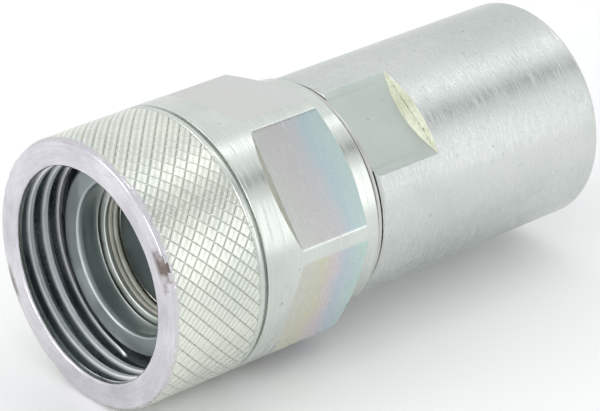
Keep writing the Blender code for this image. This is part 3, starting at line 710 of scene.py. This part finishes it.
def stud(graph, size):
    """One diamond: a small box in a square's own coordinates, turned to a diamond, with sloped sides."""
    inputs = {"Size": (1.0, 1.0, 1.0), "Vertices X": 5, "Vertices Y": 5, "Vertices Z": 2}
    box = graph.add("GeometryNodeMeshCube", inputs).outputs["Mesh"]
    p, q, level = graph.split(graph.add("GeometryNodeInputPosition").outputs[0])
    rim_p = graph.span(graph.math("ABSOLUTE", p), 0.3, 0.5)
    rim_q = graph.span(graph.math("ABSOLUTE", q), 0.3, 0.5)
    edge = graph.math("MAXIMUM", rim_p, rim_q)
    spread = graph.minus(2.0, graph.times(size["Groove share"], 4.0))

    def pushed(value, rim):
        """A quarter point moved out to the land's edge, and an outer point left where it is."""
        return graph.times(value, graph.plus(rim, graph.math(
            "MULTIPLY", graph.minus(1.0, rim), spread)))

    p, q = pushed(p, rim_p), pushed(q, rim_q)
    reach = graph.math("MAXIMUM", graph.math("ABSOLUTE", p), graph.math("ABSOLUTE", q))
    dish = graph.span(reach, 0.0, 0.4, 0.86, 1.0)
    land = graph.times(graph.times(graph.minus(1.0, edge), dish), size["Height"])
    sunk = graph.times(size["Height"], -1.8)
    top = graph.math("GREATER_THAN", level, 0.0)
    high = graph.plus(graph.times(land, top),
                      graph.times(sunk, graph.minus(1.0, top)))
    across = graph.times(graph.plus(p, q), graph.times(size["Cell width"], 0.5))
    along = graph.times(graph.minus(p, q), graph.times(size["Cell length"], 0.5))
    inputs = {"Geometry": box, "Position": graph.join(across, along, high)}
    return graph.add("GeometryNodeSetPosition", inputs).outputs[0]


def lattice(graph, size, shift):
    """A flat grid of points, one for each cell, moved by a share of a cell each way."""
    width = graph.times(size["Cell width"], graph.minus(size["Cells round"], 1.0))
    length = graph.times(size["Cell length"], graph.minus(size["Rows"], 1.0))
    inputs = {
        "Size X": width,
        "Size Y": length,
        "Vertices X": size["Cells round"],
        "Vertices Y": size["Rows"],
    }
    grid = graph.add("GeometryNodeMeshGrid", inputs).outputs["Mesh"]
    move = graph.join(graph.times(size["Cell width"], shift),
                      graph.plus(graph.times(size["Cell length"], shift),
                                 graph.times(length, 0.5)), 0.0)
    return graph.add("GeometryNodeTransform", {"Geometry": grid, "Translation": move}).outputs[0]


def wrapped(graph, size, geometry):
    """The flat sheet bent round the Y axis, and held under the rim's slope and under the bead."""
    u, v, lift = graph.split(graph.add("GeometryNodeInputPosition").outputs[0])
    turn = graph.math("DIVIDE", u, graph.plus(size["Root radius"], size["Height"]))
    ragged = graph.add("ShaderNodeTexNoise", {"Scale": 620.0, "Detail": 2.0}).outputs["Fac"]
    ragged = graph.times(graph.minus(ragged, 0.5), 1.6 * MM)
    rim = graph.span(graph.plus(v, ragged), STUD_FRONT * MM, size["Rim end"], -1.2, 1.1)
    bead = graph.span(v, graph.minus(size["Bead start"], 0.1 * MM),
                      graph.plus(size["Bead start"], 0.3 * MM), 1.2, -1.0)
    most = graph.times(graph.math("MINIMUM", rim, bead), size["Height"])
    radius = graph.plus(size["Root radius"], graph.math("MINIMUM", lift, most))
    spot = graph.join(graph.times(radius, graph.math("COSINE", turn)),
                      graph.plus(v, size["Mouth"]),
                      graph.times(radius, graph.math("SINE", turn)))
    return graph.add("GeometryNodeSetPosition", {"Geometry": geometry, "Position": spot}).outputs[0]


def knurl_tree():
    tree, graph = new_tree("knurl", KNURL_SIZES)
    size = graph.add("NodeGroupInput").outputs
    points = graph.add("GeometryNodeJoinGeometry")
    for shift in (0.0, 0.5):
        graph.tree.links.new(lattice(graph, size, shift), points.inputs[0])
    uneven = graph.add("FunctionNodeRandomValue", {
        "Min": (0.996, 0.996, 0.80), "Max": (0.996, 0.996, 1.0), "Seed": size["Seed"],
    }, data_type="FLOAT_VECTOR").outputs[0]
    studs = graph.add("GeometryNodeInstanceOnPoints", {
        "Points": points.outputs[0], "Instance": stud(graph, size), "Scale": uneven,
    }).outputs[0]
    real = graph.add("GeometryNodeRealizeInstances", {"Geometry": studs}).outputs[0]
    bent = wrapped(graph, size, real)
    painted = graph.add("GeometryNodeSetMaterial", {"Geometry": bent, "Material": knurled_zinc}).outputs[0]
    graph.add("NodeGroupOutput", {0: painted})
    return tree


# %% The knurl
knurl = grown("nut_knurl", knurl_tree(), KNURL_SIZES, knurled_zinc,
              (STUD_FRONT - MOUTH_HEIGHT) * MM, (KNURL_REAR + STUD_OVERLAP - MOUTH_HEIGHT) * MM)
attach(knurl, "nut")

# %% [markdown]
# ## Threads
# An internal thread is a tooth that winds along the bore. Cutting a groove with a Boolean works, but
# leaves slivers. Here Geometry Nodes sweep a trapezoid along a spiral, and then hold the tooth inside the
# mouth's chamfer and inside the relief at its end, so that it fades into the wall. What still reaches
# past the open end is cut off and capped. The spiral node winds clockwise as it rises, so with the values
# of Hand used below both teeth are left-handed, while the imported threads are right-handed.

# %% The thread's tree


def thread_tree(material):
    tree, graph = new_tree("thread_of_" + material.name, NUT_THREAD)
    size = graph.add("NodeGroupInput").outputs
    spiral = graph.add("GeometryNodeCurveSpiral", {
        "Resolution": size["Steps"],
        "Rotations": size["Turns"],
        "Start Radius": size["Wall"],
        "End Radius": size["Wall"],
        "Height": graph.times(size["Pitch"], size["Turns"]),
    }).outputs[0]
    upright = graph.add("GeometryNodeSetCurveNormal", {"Curve": spiral}, mode="Z_UP").outputs[0]
    section = graph.add("GeometryNodeCurvePrimitiveQuadrilateral", {
        "Bottom Width": size["Base width"],
        "Top Width": size["Crest width"],
        "Offset": 0.0,
        "Height": graph.minus(size["Wall"], size["Crest"]),
    }, mode="TRAPEZOID").outputs[0]
    turned_section = graph.add("GeometryNodeTransform", {
        "Geometry": section, "Rotation": (0.0, 0.0, math.radians(-90.0)),
    }).outputs[0]
    finer = graph.add("GeometryNodeSubdivideCurve", {"Curve": turned_section, "Cuts": 3}).outputs[0]
    tooth = graph.add("GeometryNodeCurveToMesh", {
        "Curve": upright, "Profile Curve": finer, "Fill Caps": True,
    }).outputs[0]
    x, y, z = graph.split(graph.add("GeometryNodeInputPosition").outputs[0])
    level = graph.plus(z, size["Start"])
    here = graph.radius(x, y)
    middle = graph.math("DIVIDE", graph.plus(size["Wall"], size["Crest"]), 2.0)
    radius = graph.minus(graph.plus(here, middle), size["Wall"])
    chamfer = graph.span(level, 0.0, size["Chamfer"], size["Chamfer radius"], size["Crest"])
    ending = graph.span(level, size["End"], graph.plus(size["End"], 0.25 * MM),
                        size["Crest"], size["Relief radius"])
    held = graph.math("MAXIMUM", radius, graph.math("MAXIMUM", chamfer, ending))
    grow = graph.math("DIVIDE", held, here)
    away = graph.plus(size["Origin"], graph.times(level, size["Direction"]))
    spot = graph.join(graph.times(x, grow), away,
                      graph.times(graph.times(y, grow), size["Hand"]))
    bent = graph.add("GeometryNodeSetPosition", {"Geometry": tooth, "Position": spot}).outputs[0]
    real = graph.add("GeometryNodeRealizeInstances", {"Geometry": bent}).outputs[0]
    painted = graph.add("GeometryNodeSetMaterial", {"Geometry": real, "Material": material}).outputs[0]
    graph.add("NodeGroupOutput", {0: painted})
    return tree


# %% The nut's thread
NUT_PITCH = 3.0
NUT_CREST_SHARE = 0.23
NUT_ROOT_SHARE = 0.67


def base_width(pitch, crest_share, root_share, crest, root, wall):
    """The tooth's width where it ends inside the wall, on the same flanks as at its crest and its root."""
    grow = (wall - crest) / (root - crest)
    return pitch * (crest_share + (root_share - crest_share) * grow)


NUT_WALL = THREAD_ROOT + 1.0
NUT_THREAD = {
    "Steps": 160,
    "Turns": 4.5,
    "Pitch": NUT_PITCH * MM,
    "Wall": NUT_WALL * MM,
    "Crest": THREAD_CREST * MM,
    "Crest width": NUT_CREST_SHARE * NUT_PITCH * MM,
    "Base width": base_width(NUT_PITCH, NUT_CREST_SHARE, NUT_ROOT_SHARE,
                             THREAD_CREST, THREAD_ROOT, NUT_WALL) * MM,
    "Start": -0.4 * NUT_PITCH * MM,
    "Chamfer": MOUTH_LAND * MM,
    "Chamfer radius": (RIM_PEAK + 0.02) * MM,
    "End": THREAD_END * MM,
    "Relief radius": (THREAD_ROOT + 0.45) * MM,
    "Origin": -MOUTH_HEIGHT * MM,
    "Direction": 1.0,
    "Hand": -1.0,
}
nut_thread = grown("nut_thread", thread_tree(thread_steel), NUT_THREAD, thread_steel,
                   front=(0.05 - MOUTH_HEIGHT) * MM)
nut_thread.data.shade_smooth()
nut_thread.data.set_sharp_from_angle(angle=math.radians(35.0))
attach(nut_thread, "nut")

# %% [markdown]
# ## The rear body
# A round body with two spanner flats. Each flat ends in a turned cone, so its end is a curve that bulges
# towards the mouth, and the cutter left a torn yellowish surface with a bright ridge across it. Behind,
# a pipe thread, a relief and the bore that holds the valve's guide. The body's spigot reaches forward
# into the front body and carries an O-ring.

# %% The body's sizes
FLAT_TURN = math.radians(53.2)
FLAT_RADIUS = 17.5
FLAT_END = BODY_FRONT - 11.8
CONE = math.tan(math.radians(45.0))
CONE_BASE = FLAT_END - (BODY_RADIUS - FLAT_RADIUS) / CONE
RIDGE = 0.16
PORT_MAJOR = 13.22
PORT_DEPTH = 16.0
PORT_RELIEF = 18.6
PASSAGE = 9.5
GUIDE_SHOULDER = BODY_FRONT - 6.5
GUIDE_BORE = 11.5
SNAP_BASE = GUIDE_SHOULDER + 2.3
SPIGOT = 14.3
O_RING_GROOVE = 12.6
O_RING_BASE = BODY_FRONT + 3.5
O_RING_TOP = BODY_FRONT + 6.8
SNAP_GROOVE = GUIDE_BORE + 0.85
SNAP_TOP = SNAP_BASE + 1.6
PORT_CHAMFER = 0.6
PORT_STEP = 0.3
BODY_ROUND, BODY_FLAT, BODY_CONE, BODY_INSIDE = range(4)

# %% The body's section at an angle


def body_column(angle):
    off = off_nearest(angle, FLAT_TURN, math.pi)
    flat = FLAT_RADIUS / max(0.5, math.cos(off))
    land = soft_min(BODY_RADIUS, flat, 0.08)
    sunk = BODY_RADIUS - land
    surface = BODY_FLAT if sunk > 0.03 else BODY_ROUND
    wall = BODY_CONE if sunk > 0.03 else BODY_ROUND
    face_edge = min(land, BODY_RADIUS - 0.5)

    def on_cone(share, lift=0.0):
        r = land + share * sunk
        return r + lift * sunk / 2, CONE_BASE + (BODY_RADIUS - r) / CONE

    points = [
        (SPIGOT, BODY_FRONT, 0.0, BODY_ROUND),
        (face_edge, BODY_FRONT, 0.1, BODY_ROUND),
        (land, BODY_FRONT - (land - face_edge), 0.1, surface),
        (*on_cone(0.0), 0.05, wall),
        (*on_cone(0.40), 0.0, wall),
        (*on_cone(0.48, RIDGE), 0.0, wall),
        (*on_cone(0.55, -RIDGE), 0.0, wall),
        (*on_cone(0.64), 0.0, wall),
        (BODY_RADIUS, CONE_BASE, 0.06, BODY_ROUND),
        (BODY_RADIUS, 0.8, 0.8, BODY_ROUND),
        (BODY_RADIUS - 0.8, 0.0, 0.3, BODY_ROUND),
        (PORT_MAJOR + PORT_CHAMFER, 0.0, 0.15, BODY_INSIDE),
        (PORT_MAJOR, PORT_CHAMFER, 0.0, BODY_INSIDE),
        (PORT_MAJOR, PORT_DEPTH, 0.0, BODY_INSIDE),
        (PORT_MAJOR + PORT_STEP, PORT_DEPTH, 0.1, BODY_INSIDE),
        (PORT_MAJOR + PORT_STEP, PORT_RELIEF, 0.3, BODY_INSIDE),
        (PASSAGE, PORT_RELIEF + (PORT_MAJOR + PORT_STEP - PASSAGE) * CHAMFER_RISE, 0.4, BODY_INSIDE),
        (PASSAGE, GUIDE_SHOULDER, 0.1, BODY_INSIDE),
        (GUIDE_BORE, GUIDE_SHOULDER, 0.1, BODY_INSIDE),
        (GUIDE_BORE, SNAP_BASE, 0.05, BODY_INSIDE),
        (SNAP_GROOVE, SNAP_BASE, 0.05, BODY_INSIDE),
        (SNAP_GROOVE, SNAP_TOP, 0.05, BODY_INSIDE),
        (GUIDE_BORE, SNAP_TOP, 0.05, BODY_INSIDE),
        (GUIDE_BORE, SPIGOT_TOP, 0.2, BODY_INSIDE),
        (SPIGOT - 0.5, SPIGOT_TOP, 0.1, BODY_INSIDE),
        (SPIGOT, SPIGOT_TOP - 0.5, 0.1, BODY_INSIDE),
        (SPIGOT, O_RING_TOP, 0.1, BODY_INSIDE),
        (O_RING_GROOVE, O_RING_TOP, 0.1, BODY_INSIDE),
        (O_RING_GROOVE, O_RING_BASE, 0.1, BODY_INSIDE),
        (SPIGOT, O_RING_BASE, 0.1, BODY_INSIDE),
    ]
    return [(r, -h, slot) for r, h, slot in rounded(points)]


# %% The body
half_spanner = math.acos(FLAT_RADIUS / BODY_RADIUS)
flat_edges = [FLAT_TURN + k * math.pi + side * half_spanner for k in range(2) for side in (-1, 1)]
body = from_columns("body_of_zinc", crowded_angles(288, flat_edges), body_column,
                    [body_zinc, flat_zinc, cone_zinc, port_steel])
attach(body, "body")
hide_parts("rear_body")

# %% The port's thread
PORT_PITCH = 1.814
PORT_CREST_SHARE = 0.18
PORT_ROOT_SHARE = 0.76
PORT_WALL = PORT_MAJOR + 0.45
PORT_THREAD = {
    "Steps": 120,
    "Turns": 10.5,
    "Pitch": PORT_PITCH * MM,
    "Wall": PORT_WALL * MM,
    "Crest": PORT_MINOR * MM,
    "Crest width": PORT_CREST_SHARE * PORT_PITCH * MM,
    "Base width": base_width(PORT_PITCH, PORT_CREST_SHARE, PORT_ROOT_SHARE,
                             PORT_MINOR, PORT_MAJOR, PORT_WALL) * MM,
    "Start": -0.5 * PORT_PITCH * MM,
    "Chamfer": (PORT_MAJOR + PORT_CHAMFER - PORT_MINOR) * MM,
    "Chamfer radius": (PORT_MAJOR + 0.62) * MM,
    "End": PORT_DEPTH * MM,
    "Relief radius": (PORT_MAJOR + 0.36) * MM,
    "Origin": 0.0,
    "Direction": -1.0,
    "Hand": 1.0,
}
port_thread = grown("port_thread", thread_tree(port_steel), PORT_THREAD, port_steel, rear=-0.2 * MM)
port_thread.data.shade_smooth()
port_thread.data.set_sharp_from_angle(angle=math.radians(35.0))
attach(port_thread, "body")

# %% [markdown]
# ## Round pieces inside
# The front body, the seat, the seals and the washers are all simply turned. Their outlines are already
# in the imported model, so each is read back from there: a plane through the axis cuts the piece, and the
# cut is its section. The section gets rounded corners and is swept again in fine steps.

# %% Read a section back from the frame


def section_of(node):
    """The outline of a turned piece, in millimetres, as (radius, y) points in order."""
    work = bmesh.new()
    work.from_mesh(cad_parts[node].data)
    bmesh.ops.remove_doubles(work, verts=work.verts, dist=1e-6)
    parts = work.verts[:] + work.edges[:] + work.faces[:]
    cut = bmesh.ops.bisect_plane(work, geom=parts, dist=1e-6, plane_co=(0, 0, 0), plane_no=(0, 0, 1))
    cut_edges = [e for e in cut["geom_cut"] if isinstance(e, bmesh.types.BMEdge)]
    links = {}
    for edge in cut_edges:
        ends = [(round(v.co.x / MM, 3), round(v.co.y / MM, 3)) for v in edge.verts]
        if min(end[0] for end in ends) < 0.0 or ends[0] == ends[1]:
            continue
        for one, other in (ends, ends[::-1]):
            links.setdefault(one, set()).add(other)
    work.free()
    start = max(links)
    path = [start]
    while True:
        ahead = [spot for spot in links[path[-1]] if spot not in path]
        if not ahead:
            return straightened(path)
        path.append(min(ahead, key=lambda spot: math.dist(spot, path[-1])))


def straightened(path):
    """The outline without the points that lie on a straight stretch."""
    kept = []
    for index, here in enumerate(path):
        back = Vector(path[index - 1]) - Vector(here)
        ahead = Vector(path[(index + 1) % len(path)]) - Vector(here)
        if back.length and ahead.length and back.angle(ahead) < math.radians(179.0):
            kept.append(here)
    return kept


def turned_again(name, node, body_name, slot, material, corner, grow=0.0):
    section = section_of(node)
    rim = max(r for r, y in section) - 0.05
    points = [(r + grow if r > rim else r, y, corner, 0) for r, y in section]
    piece = from_columns(name, even_angles(180), lambda angle: rounded(points), [material])
    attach(piece, body_name)
    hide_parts(node)
    return piece


# %% The turned pieces that the mouth and the port show, and those behind them
TURNED = (
    ("nose", "front_body", "body", "dark_steel", nose_steel, 0.5),
    ("seat", "seat_ring", "body", "bright_steel", seat_highlight_steel, 0.2),
    ("probe_seal", "interface_seal", "body", "polyurethane", urethane, 0.2),
    ("probe_backup", "interface_backup_ring", "body", "ptfe", ptfe, 0.08),
    ("stop_ring", "nut_stop_ring", "body", "bright_steel", hidden_steel, 0.35, 0.3),
    ("thrust_washer", "nut_thrust_washer", "body", "bronze", bronze, 0.1),
    ("spigot_seal", "body_o_ring", "body", "rubber", rubber, 0.4),
    ("spigot_backup", "body_backup_ring", "body", "ptfe", ptfe, 0.08),
    ("wiper", "nut_wiper", "nut", "rubber", rubber, 0.25),
    ("valve_seal", "poppet_seal", "valve", "rubber", rubber, 0.3),
    ("retainer", "seal_retainer", "valve", "bright_steel", hidden_steel, 0.15),
    ("bush", "guide_bush", "body", "ptfe", ptfe, 0.08),
    ("spring_washer", "spring_seat", "body", "bright_steel", hidden_steel, 0.1),
)
for settings in TURNED:
    turned_again(*settings)

# %% [markdown]
# ## The valve
# The flat head that closes the bore, and the stem behind it. Both reach the axis, where the columns meet
# in one point. The head's face has the small centre hole that facing leaves.

# %% The valve head and its stem
head_low, head_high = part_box("poppet_head")
HEAD_FACE = head_low.y / MM
HEAD_BACK = head_high.y / MM
HEAD_RADIUS = head_high.x / MM
HEAD_LIP = HEAD_RADIUS - 0.75
HUB_RADIUS = 5.2
STEM_SOCKET = 3.3
HEAD_DEPTH = 2.15
SOCKET_DEPTH = 2.45
head_points = [
    (0.0, HEAD_FACE + 0.5, 0.0, 0),
    (0.45, HEAD_FACE, 0.1, 0),
    (HEAD_RADIUS - 1.1, HEAD_FACE, 0.2, 0),
    (HEAD_LIP, HEAD_FACE + 0.35, 0.2, 0),
    (HEAD_LIP, HEAD_FACE + 1.3, 0.1, 0),
    (HEAD_RADIUS, HEAD_FACE + 2.05, 0.05, 0),
    (HEAD_RADIUS, HEAD_FACE + HEAD_DEPTH, 0.0, 0),
    (HUB_RADIUS, HEAD_FACE + HEAD_DEPTH, 0.1, 0),
    (HUB_RADIUS, HEAD_BACK, 0.2, 0),
    (STEM_SOCKET, HEAD_BACK, 0.1, 0),
    (STEM_SOCKET, HEAD_FACE + SOCKET_DEPTH, 0.1, 0),
    (0.0, HEAD_FACE + SOCKET_DEPTH, 0.0, 0),
]
head = from_columns("valve_head", even_angles(180), lambda angle: rounded(head_points), [poppet_steel])
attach(head, "valve")
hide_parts("poppet_head")

stem_low, stem_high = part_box("valve_stem")
STEM_RADIUS = stem_high.x / MM
stem_points = [
    (0.0, stem_low.y / MM, 0.0, 0),
    (STEM_RADIUS, stem_low.y / MM, 0.15, 0),
    (STEM_RADIUS, stem_high.y / MM - 0.5, 0.3, 0),
    (STEM_RADIUS - 0.5, stem_high.y / MM, 0.2, 0),
    (0.0, stem_high.y / MM, 0.0, 0),
]
stem = from_columns("valve_rod", even_angles(96), lambda angle: rounded(stem_points), [hidden_steel])
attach(stem, "valve")
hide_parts("valve_stem")

# %% [markdown]
# ## The spring
# A compression spring with closed ends: its first and last turns lie nearly flat and the others share
# the length. Geometry Nodes turn a straight line of points into that winding and sweep a round wire
# along it. It stays put on the guide.

# %% The spring's tree
spring_low, spring_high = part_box("valve_spring")
SPRING = {
    "Steps": 336,
    "Turns": 7.0,
    "Wire": 1.0 * MM,
    "Middle radius": spring_high.x - 1.0 * MM,
    "Valve end": spring_low.y + 1.05 * MM,
    "Guide end": spring_high.y - 1.05 * MM,
}


def spring_tree():
    tree, graph = new_tree("spring", SPRING)
    size = graph.add("NodeGroupInput").outputs
    inputs = {"Start": (0.0, 0.0, 0.0), "End": (1.0, 0.0, 0.0)}
    line = graph.add("GeometryNodeCurvePrimitiveLine", inputs).outputs[0]
    fine = graph.add("GeometryNodeResampleCurve", {"Curve": line, "Count": size["Steps"]}).outputs[0]
    share = graph.split(graph.add("GeometryNodeInputPosition").outputs[0])[0]
    turn = graph.times(share, size["Turns"])
    angle = graph.times(turn, 2 * math.pi)
    wire = graph.times(size["Wire"], 2.0)
    length = graph.minus(size["Guide end"], size["Valve end"])
    last = graph.minus(size["Turns"], 1.0)
    first_part = graph.span(turn, 0.0, 1.0, 0.0, wire)
    open_part = graph.span(turn, 1.0, last, 0.0, graph.minus(length, graph.times(wire, 2.0)))
    last_part = graph.span(turn, last, size["Turns"], 0.0, wire)
    along = graph.plus(graph.plus(first_part, open_part), last_part)
    spot = graph.join(graph.times(size["Middle radius"], graph.math("COSINE", angle)),
                      graph.minus(size["Guide end"], along),
                      graph.times(size["Middle radius"], graph.math("SINE", angle)))
    wound = graph.add("GeometryNodeSetPosition", {"Geometry": fine, "Position": spot}).outputs[0]
    inputs = {"Resolution": 12, "Radius": size["Wire"]}
    circle = graph.add("GeometryNodeCurvePrimitiveCircle", inputs).outputs[0]
    inputs = {"Curve": wound, "Profile Curve": circle, "Fill Caps": True}
    coil = graph.add("GeometryNodeCurveToMesh", inputs).outputs[0]
    real = graph.add("GeometryNodeRealizeInstances", {"Geometry": coil}).outputs[0]
    painted = graph.add("GeometryNodeSetMaterial", {"Geometry": real, "Material": spring_steel}).outputs[0]
    graph.add("NodeGroupOutput", {0: painted})
    return tree


# %% The spring
spring = grown("valve_coil", spring_tree(), SPRING, spring_steel)
spring.data.shade_smooth()
spring.data.set_sharp_from_angle(angle=math.radians(50.0))
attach(spring, "body")
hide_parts("valve_spring")
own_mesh(spring)

# %% [markdown]
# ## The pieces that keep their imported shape
# The two snap rings, the stem's nut and the spider that guides the stem are cut or split shapes. Their
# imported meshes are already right, so they only get a finish.

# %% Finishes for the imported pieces


def repaint(node, material):
    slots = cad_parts[node].data.materials
    slots.clear()
    slots.append(material)


repaint("seat_lock_ring", spring_steel)
repaint("guide_snap_ring", spring_steel)
repaint("stem_nut", collar_zinc)
repaint("valve_guide", nose_steel)

# %% [markdown]
# ## Floor, light and camera
# A white sweep of floor and a white room give plated metal something pale to mirror. One long narrow
# lamp above, in line with the coupler, draws the thin bright line on the body, and a wider one at its
# side gives the broad one. A small lamp lights the inside of the mouth and another the front. A grey card
# between the two long lamps keeps their lines on the metal apart.

# %% The floor and the room
floor_mesh = bpy.data.meshes.new("floor")
FLOOR_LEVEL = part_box("coupling_nut")[0].z
FLOOR_SIZE = 6.0
corners = [(x * FLOOR_SIZE, y * FLOOR_SIZE, FLOOR_LEVEL) for x, y in ((-1, -1), (1, -1), (1, 1), (-1, 1))]
floor_mesh.from_pydata(corners, [], [(0, 1, 2, 3)])
floor = added("floor", floor_mesh)
floor_white, _, floor_shader = new_surface("floor_white", 0.9, 0.0)
floor_shader.inputs["Base Color"].default_value = (0.97, 0.97, 0.97, 1.0)
floor_shader.inputs["Specular IOR Level"].default_value = 0.0
floor_mesh.materials.append(floor_white)

room = bpy.data.worlds.new("room")
bpy.context.scene.world = room
room.use_nodes = True
room.node_tree.nodes["Background"].inputs["Color"].default_value = (0.98, 0.99, 1.0, 1.0)
room.node_tree.nodes["Background"].inputs["Strength"].default_value = 0.97

# %% The lamps


def lamp(name, place, aim, size, power, colour=(1.0, 1.0, 1.0)):
    """A rectangular lamp at a place, facing a point, its long side along Y."""
    data = bpy.data.lights.new(name, "AREA")
    data.shape = "RECTANGLE"
    data.size, data.size_y = size
    data.energy = power
    data.color = colour
    obj = added(name, data)
    obj.location = place
    away = (Vector(aim) - Vector(place)).normalized()
    obj.rotation_mode = "QUATERNION"
    obj.rotation_quaternion = away.to_track_quat("-Z", "Y")
    return obj


MIDDLE = (0.0, -0.05, 0.0)
lamp("line_lamp", (0.03, 0.30, 0.49), MIDDLE, (0.05, 0.6), 0.18)
lamp("side_lamp", (0.50, 0.32, 0.06), MIDDLE, (0.20, 0.6), 0.30)
lamp("mouth_lamp", (0.16, -0.75, 0.16), (0.0, -0.09, 0.0), (0.15, 0.15), 0.8)
lamp("front_lamp", (-0.25, -0.65, 0.30), MIDDLE, (0.30, 0.3), 0.6)
bpy.context.scene.view_settings.view_transform = "Standard"

# %% The grey card


def card(name, place, aim, width, length):
    """A grey card between the two lamps, which keeps their two lines on the metal apart."""
    data = bpy.data.meshes.new(name)
    away = (Vector(aim) - Vector(place)).normalized()
    side = away.cross(Vector((0.0, 1.0, 0.0))).normalized() * width / 2
    along = side.cross(away).normalized() * length / 2
    middle = Vector(place)
    corners = [middle + across * side + up * along for across, up in ((1, 1), (-1, 1), (-1, -1), (1, -1))]
    data.from_pydata(corners, [], [(0, 1, 2, 3)])
    grey, _, grey_shader = new_surface("card_grey", 0.9, 0.0)
    grey_shader.inputs["Base Color"].default_value = (0.28, 0.28, 0.28, 1.0)
    data.materials.append(grey)
    obj = added(name, data)


card("grey_card", (0.225, 0.24, 0.34), MIDDLE, 0.07, 0.5)

# %% The camera
LOOK_AT = Vector((0.0, -0.058, 0.0))
AZIMUTH = math.radians(49.264)
ELEVATION = math.radians(26.689)
DISTANCE = 0.53104
camera_data = bpy.data.cameras.new("camera")
camera_data.lens = 190.47
camera_data.sensor_width = 36.0
camera_data.shift_x = 0.0443
camera_data.shift_y = -0.0042
camera = added("camera", camera_data)
back = Vector((
    math.sin(AZIMUTH) * math.cos(ELEVATION),
    -math.cos(AZIMUTH) * math.cos(ELEVATION),
    math.sin(ELEVATION),
))
camera.location = LOOK_AT + back * DISTANCE
camera.rotation_mode = "QUATERNION"
camera.rotation_quaternion = (-back).to_track_quat("-Z", "Y")
camera_data.clip_start = 0.01
bpy.context.scene.camera = camera

# %% Finish
bpy.context.view_layer.update()
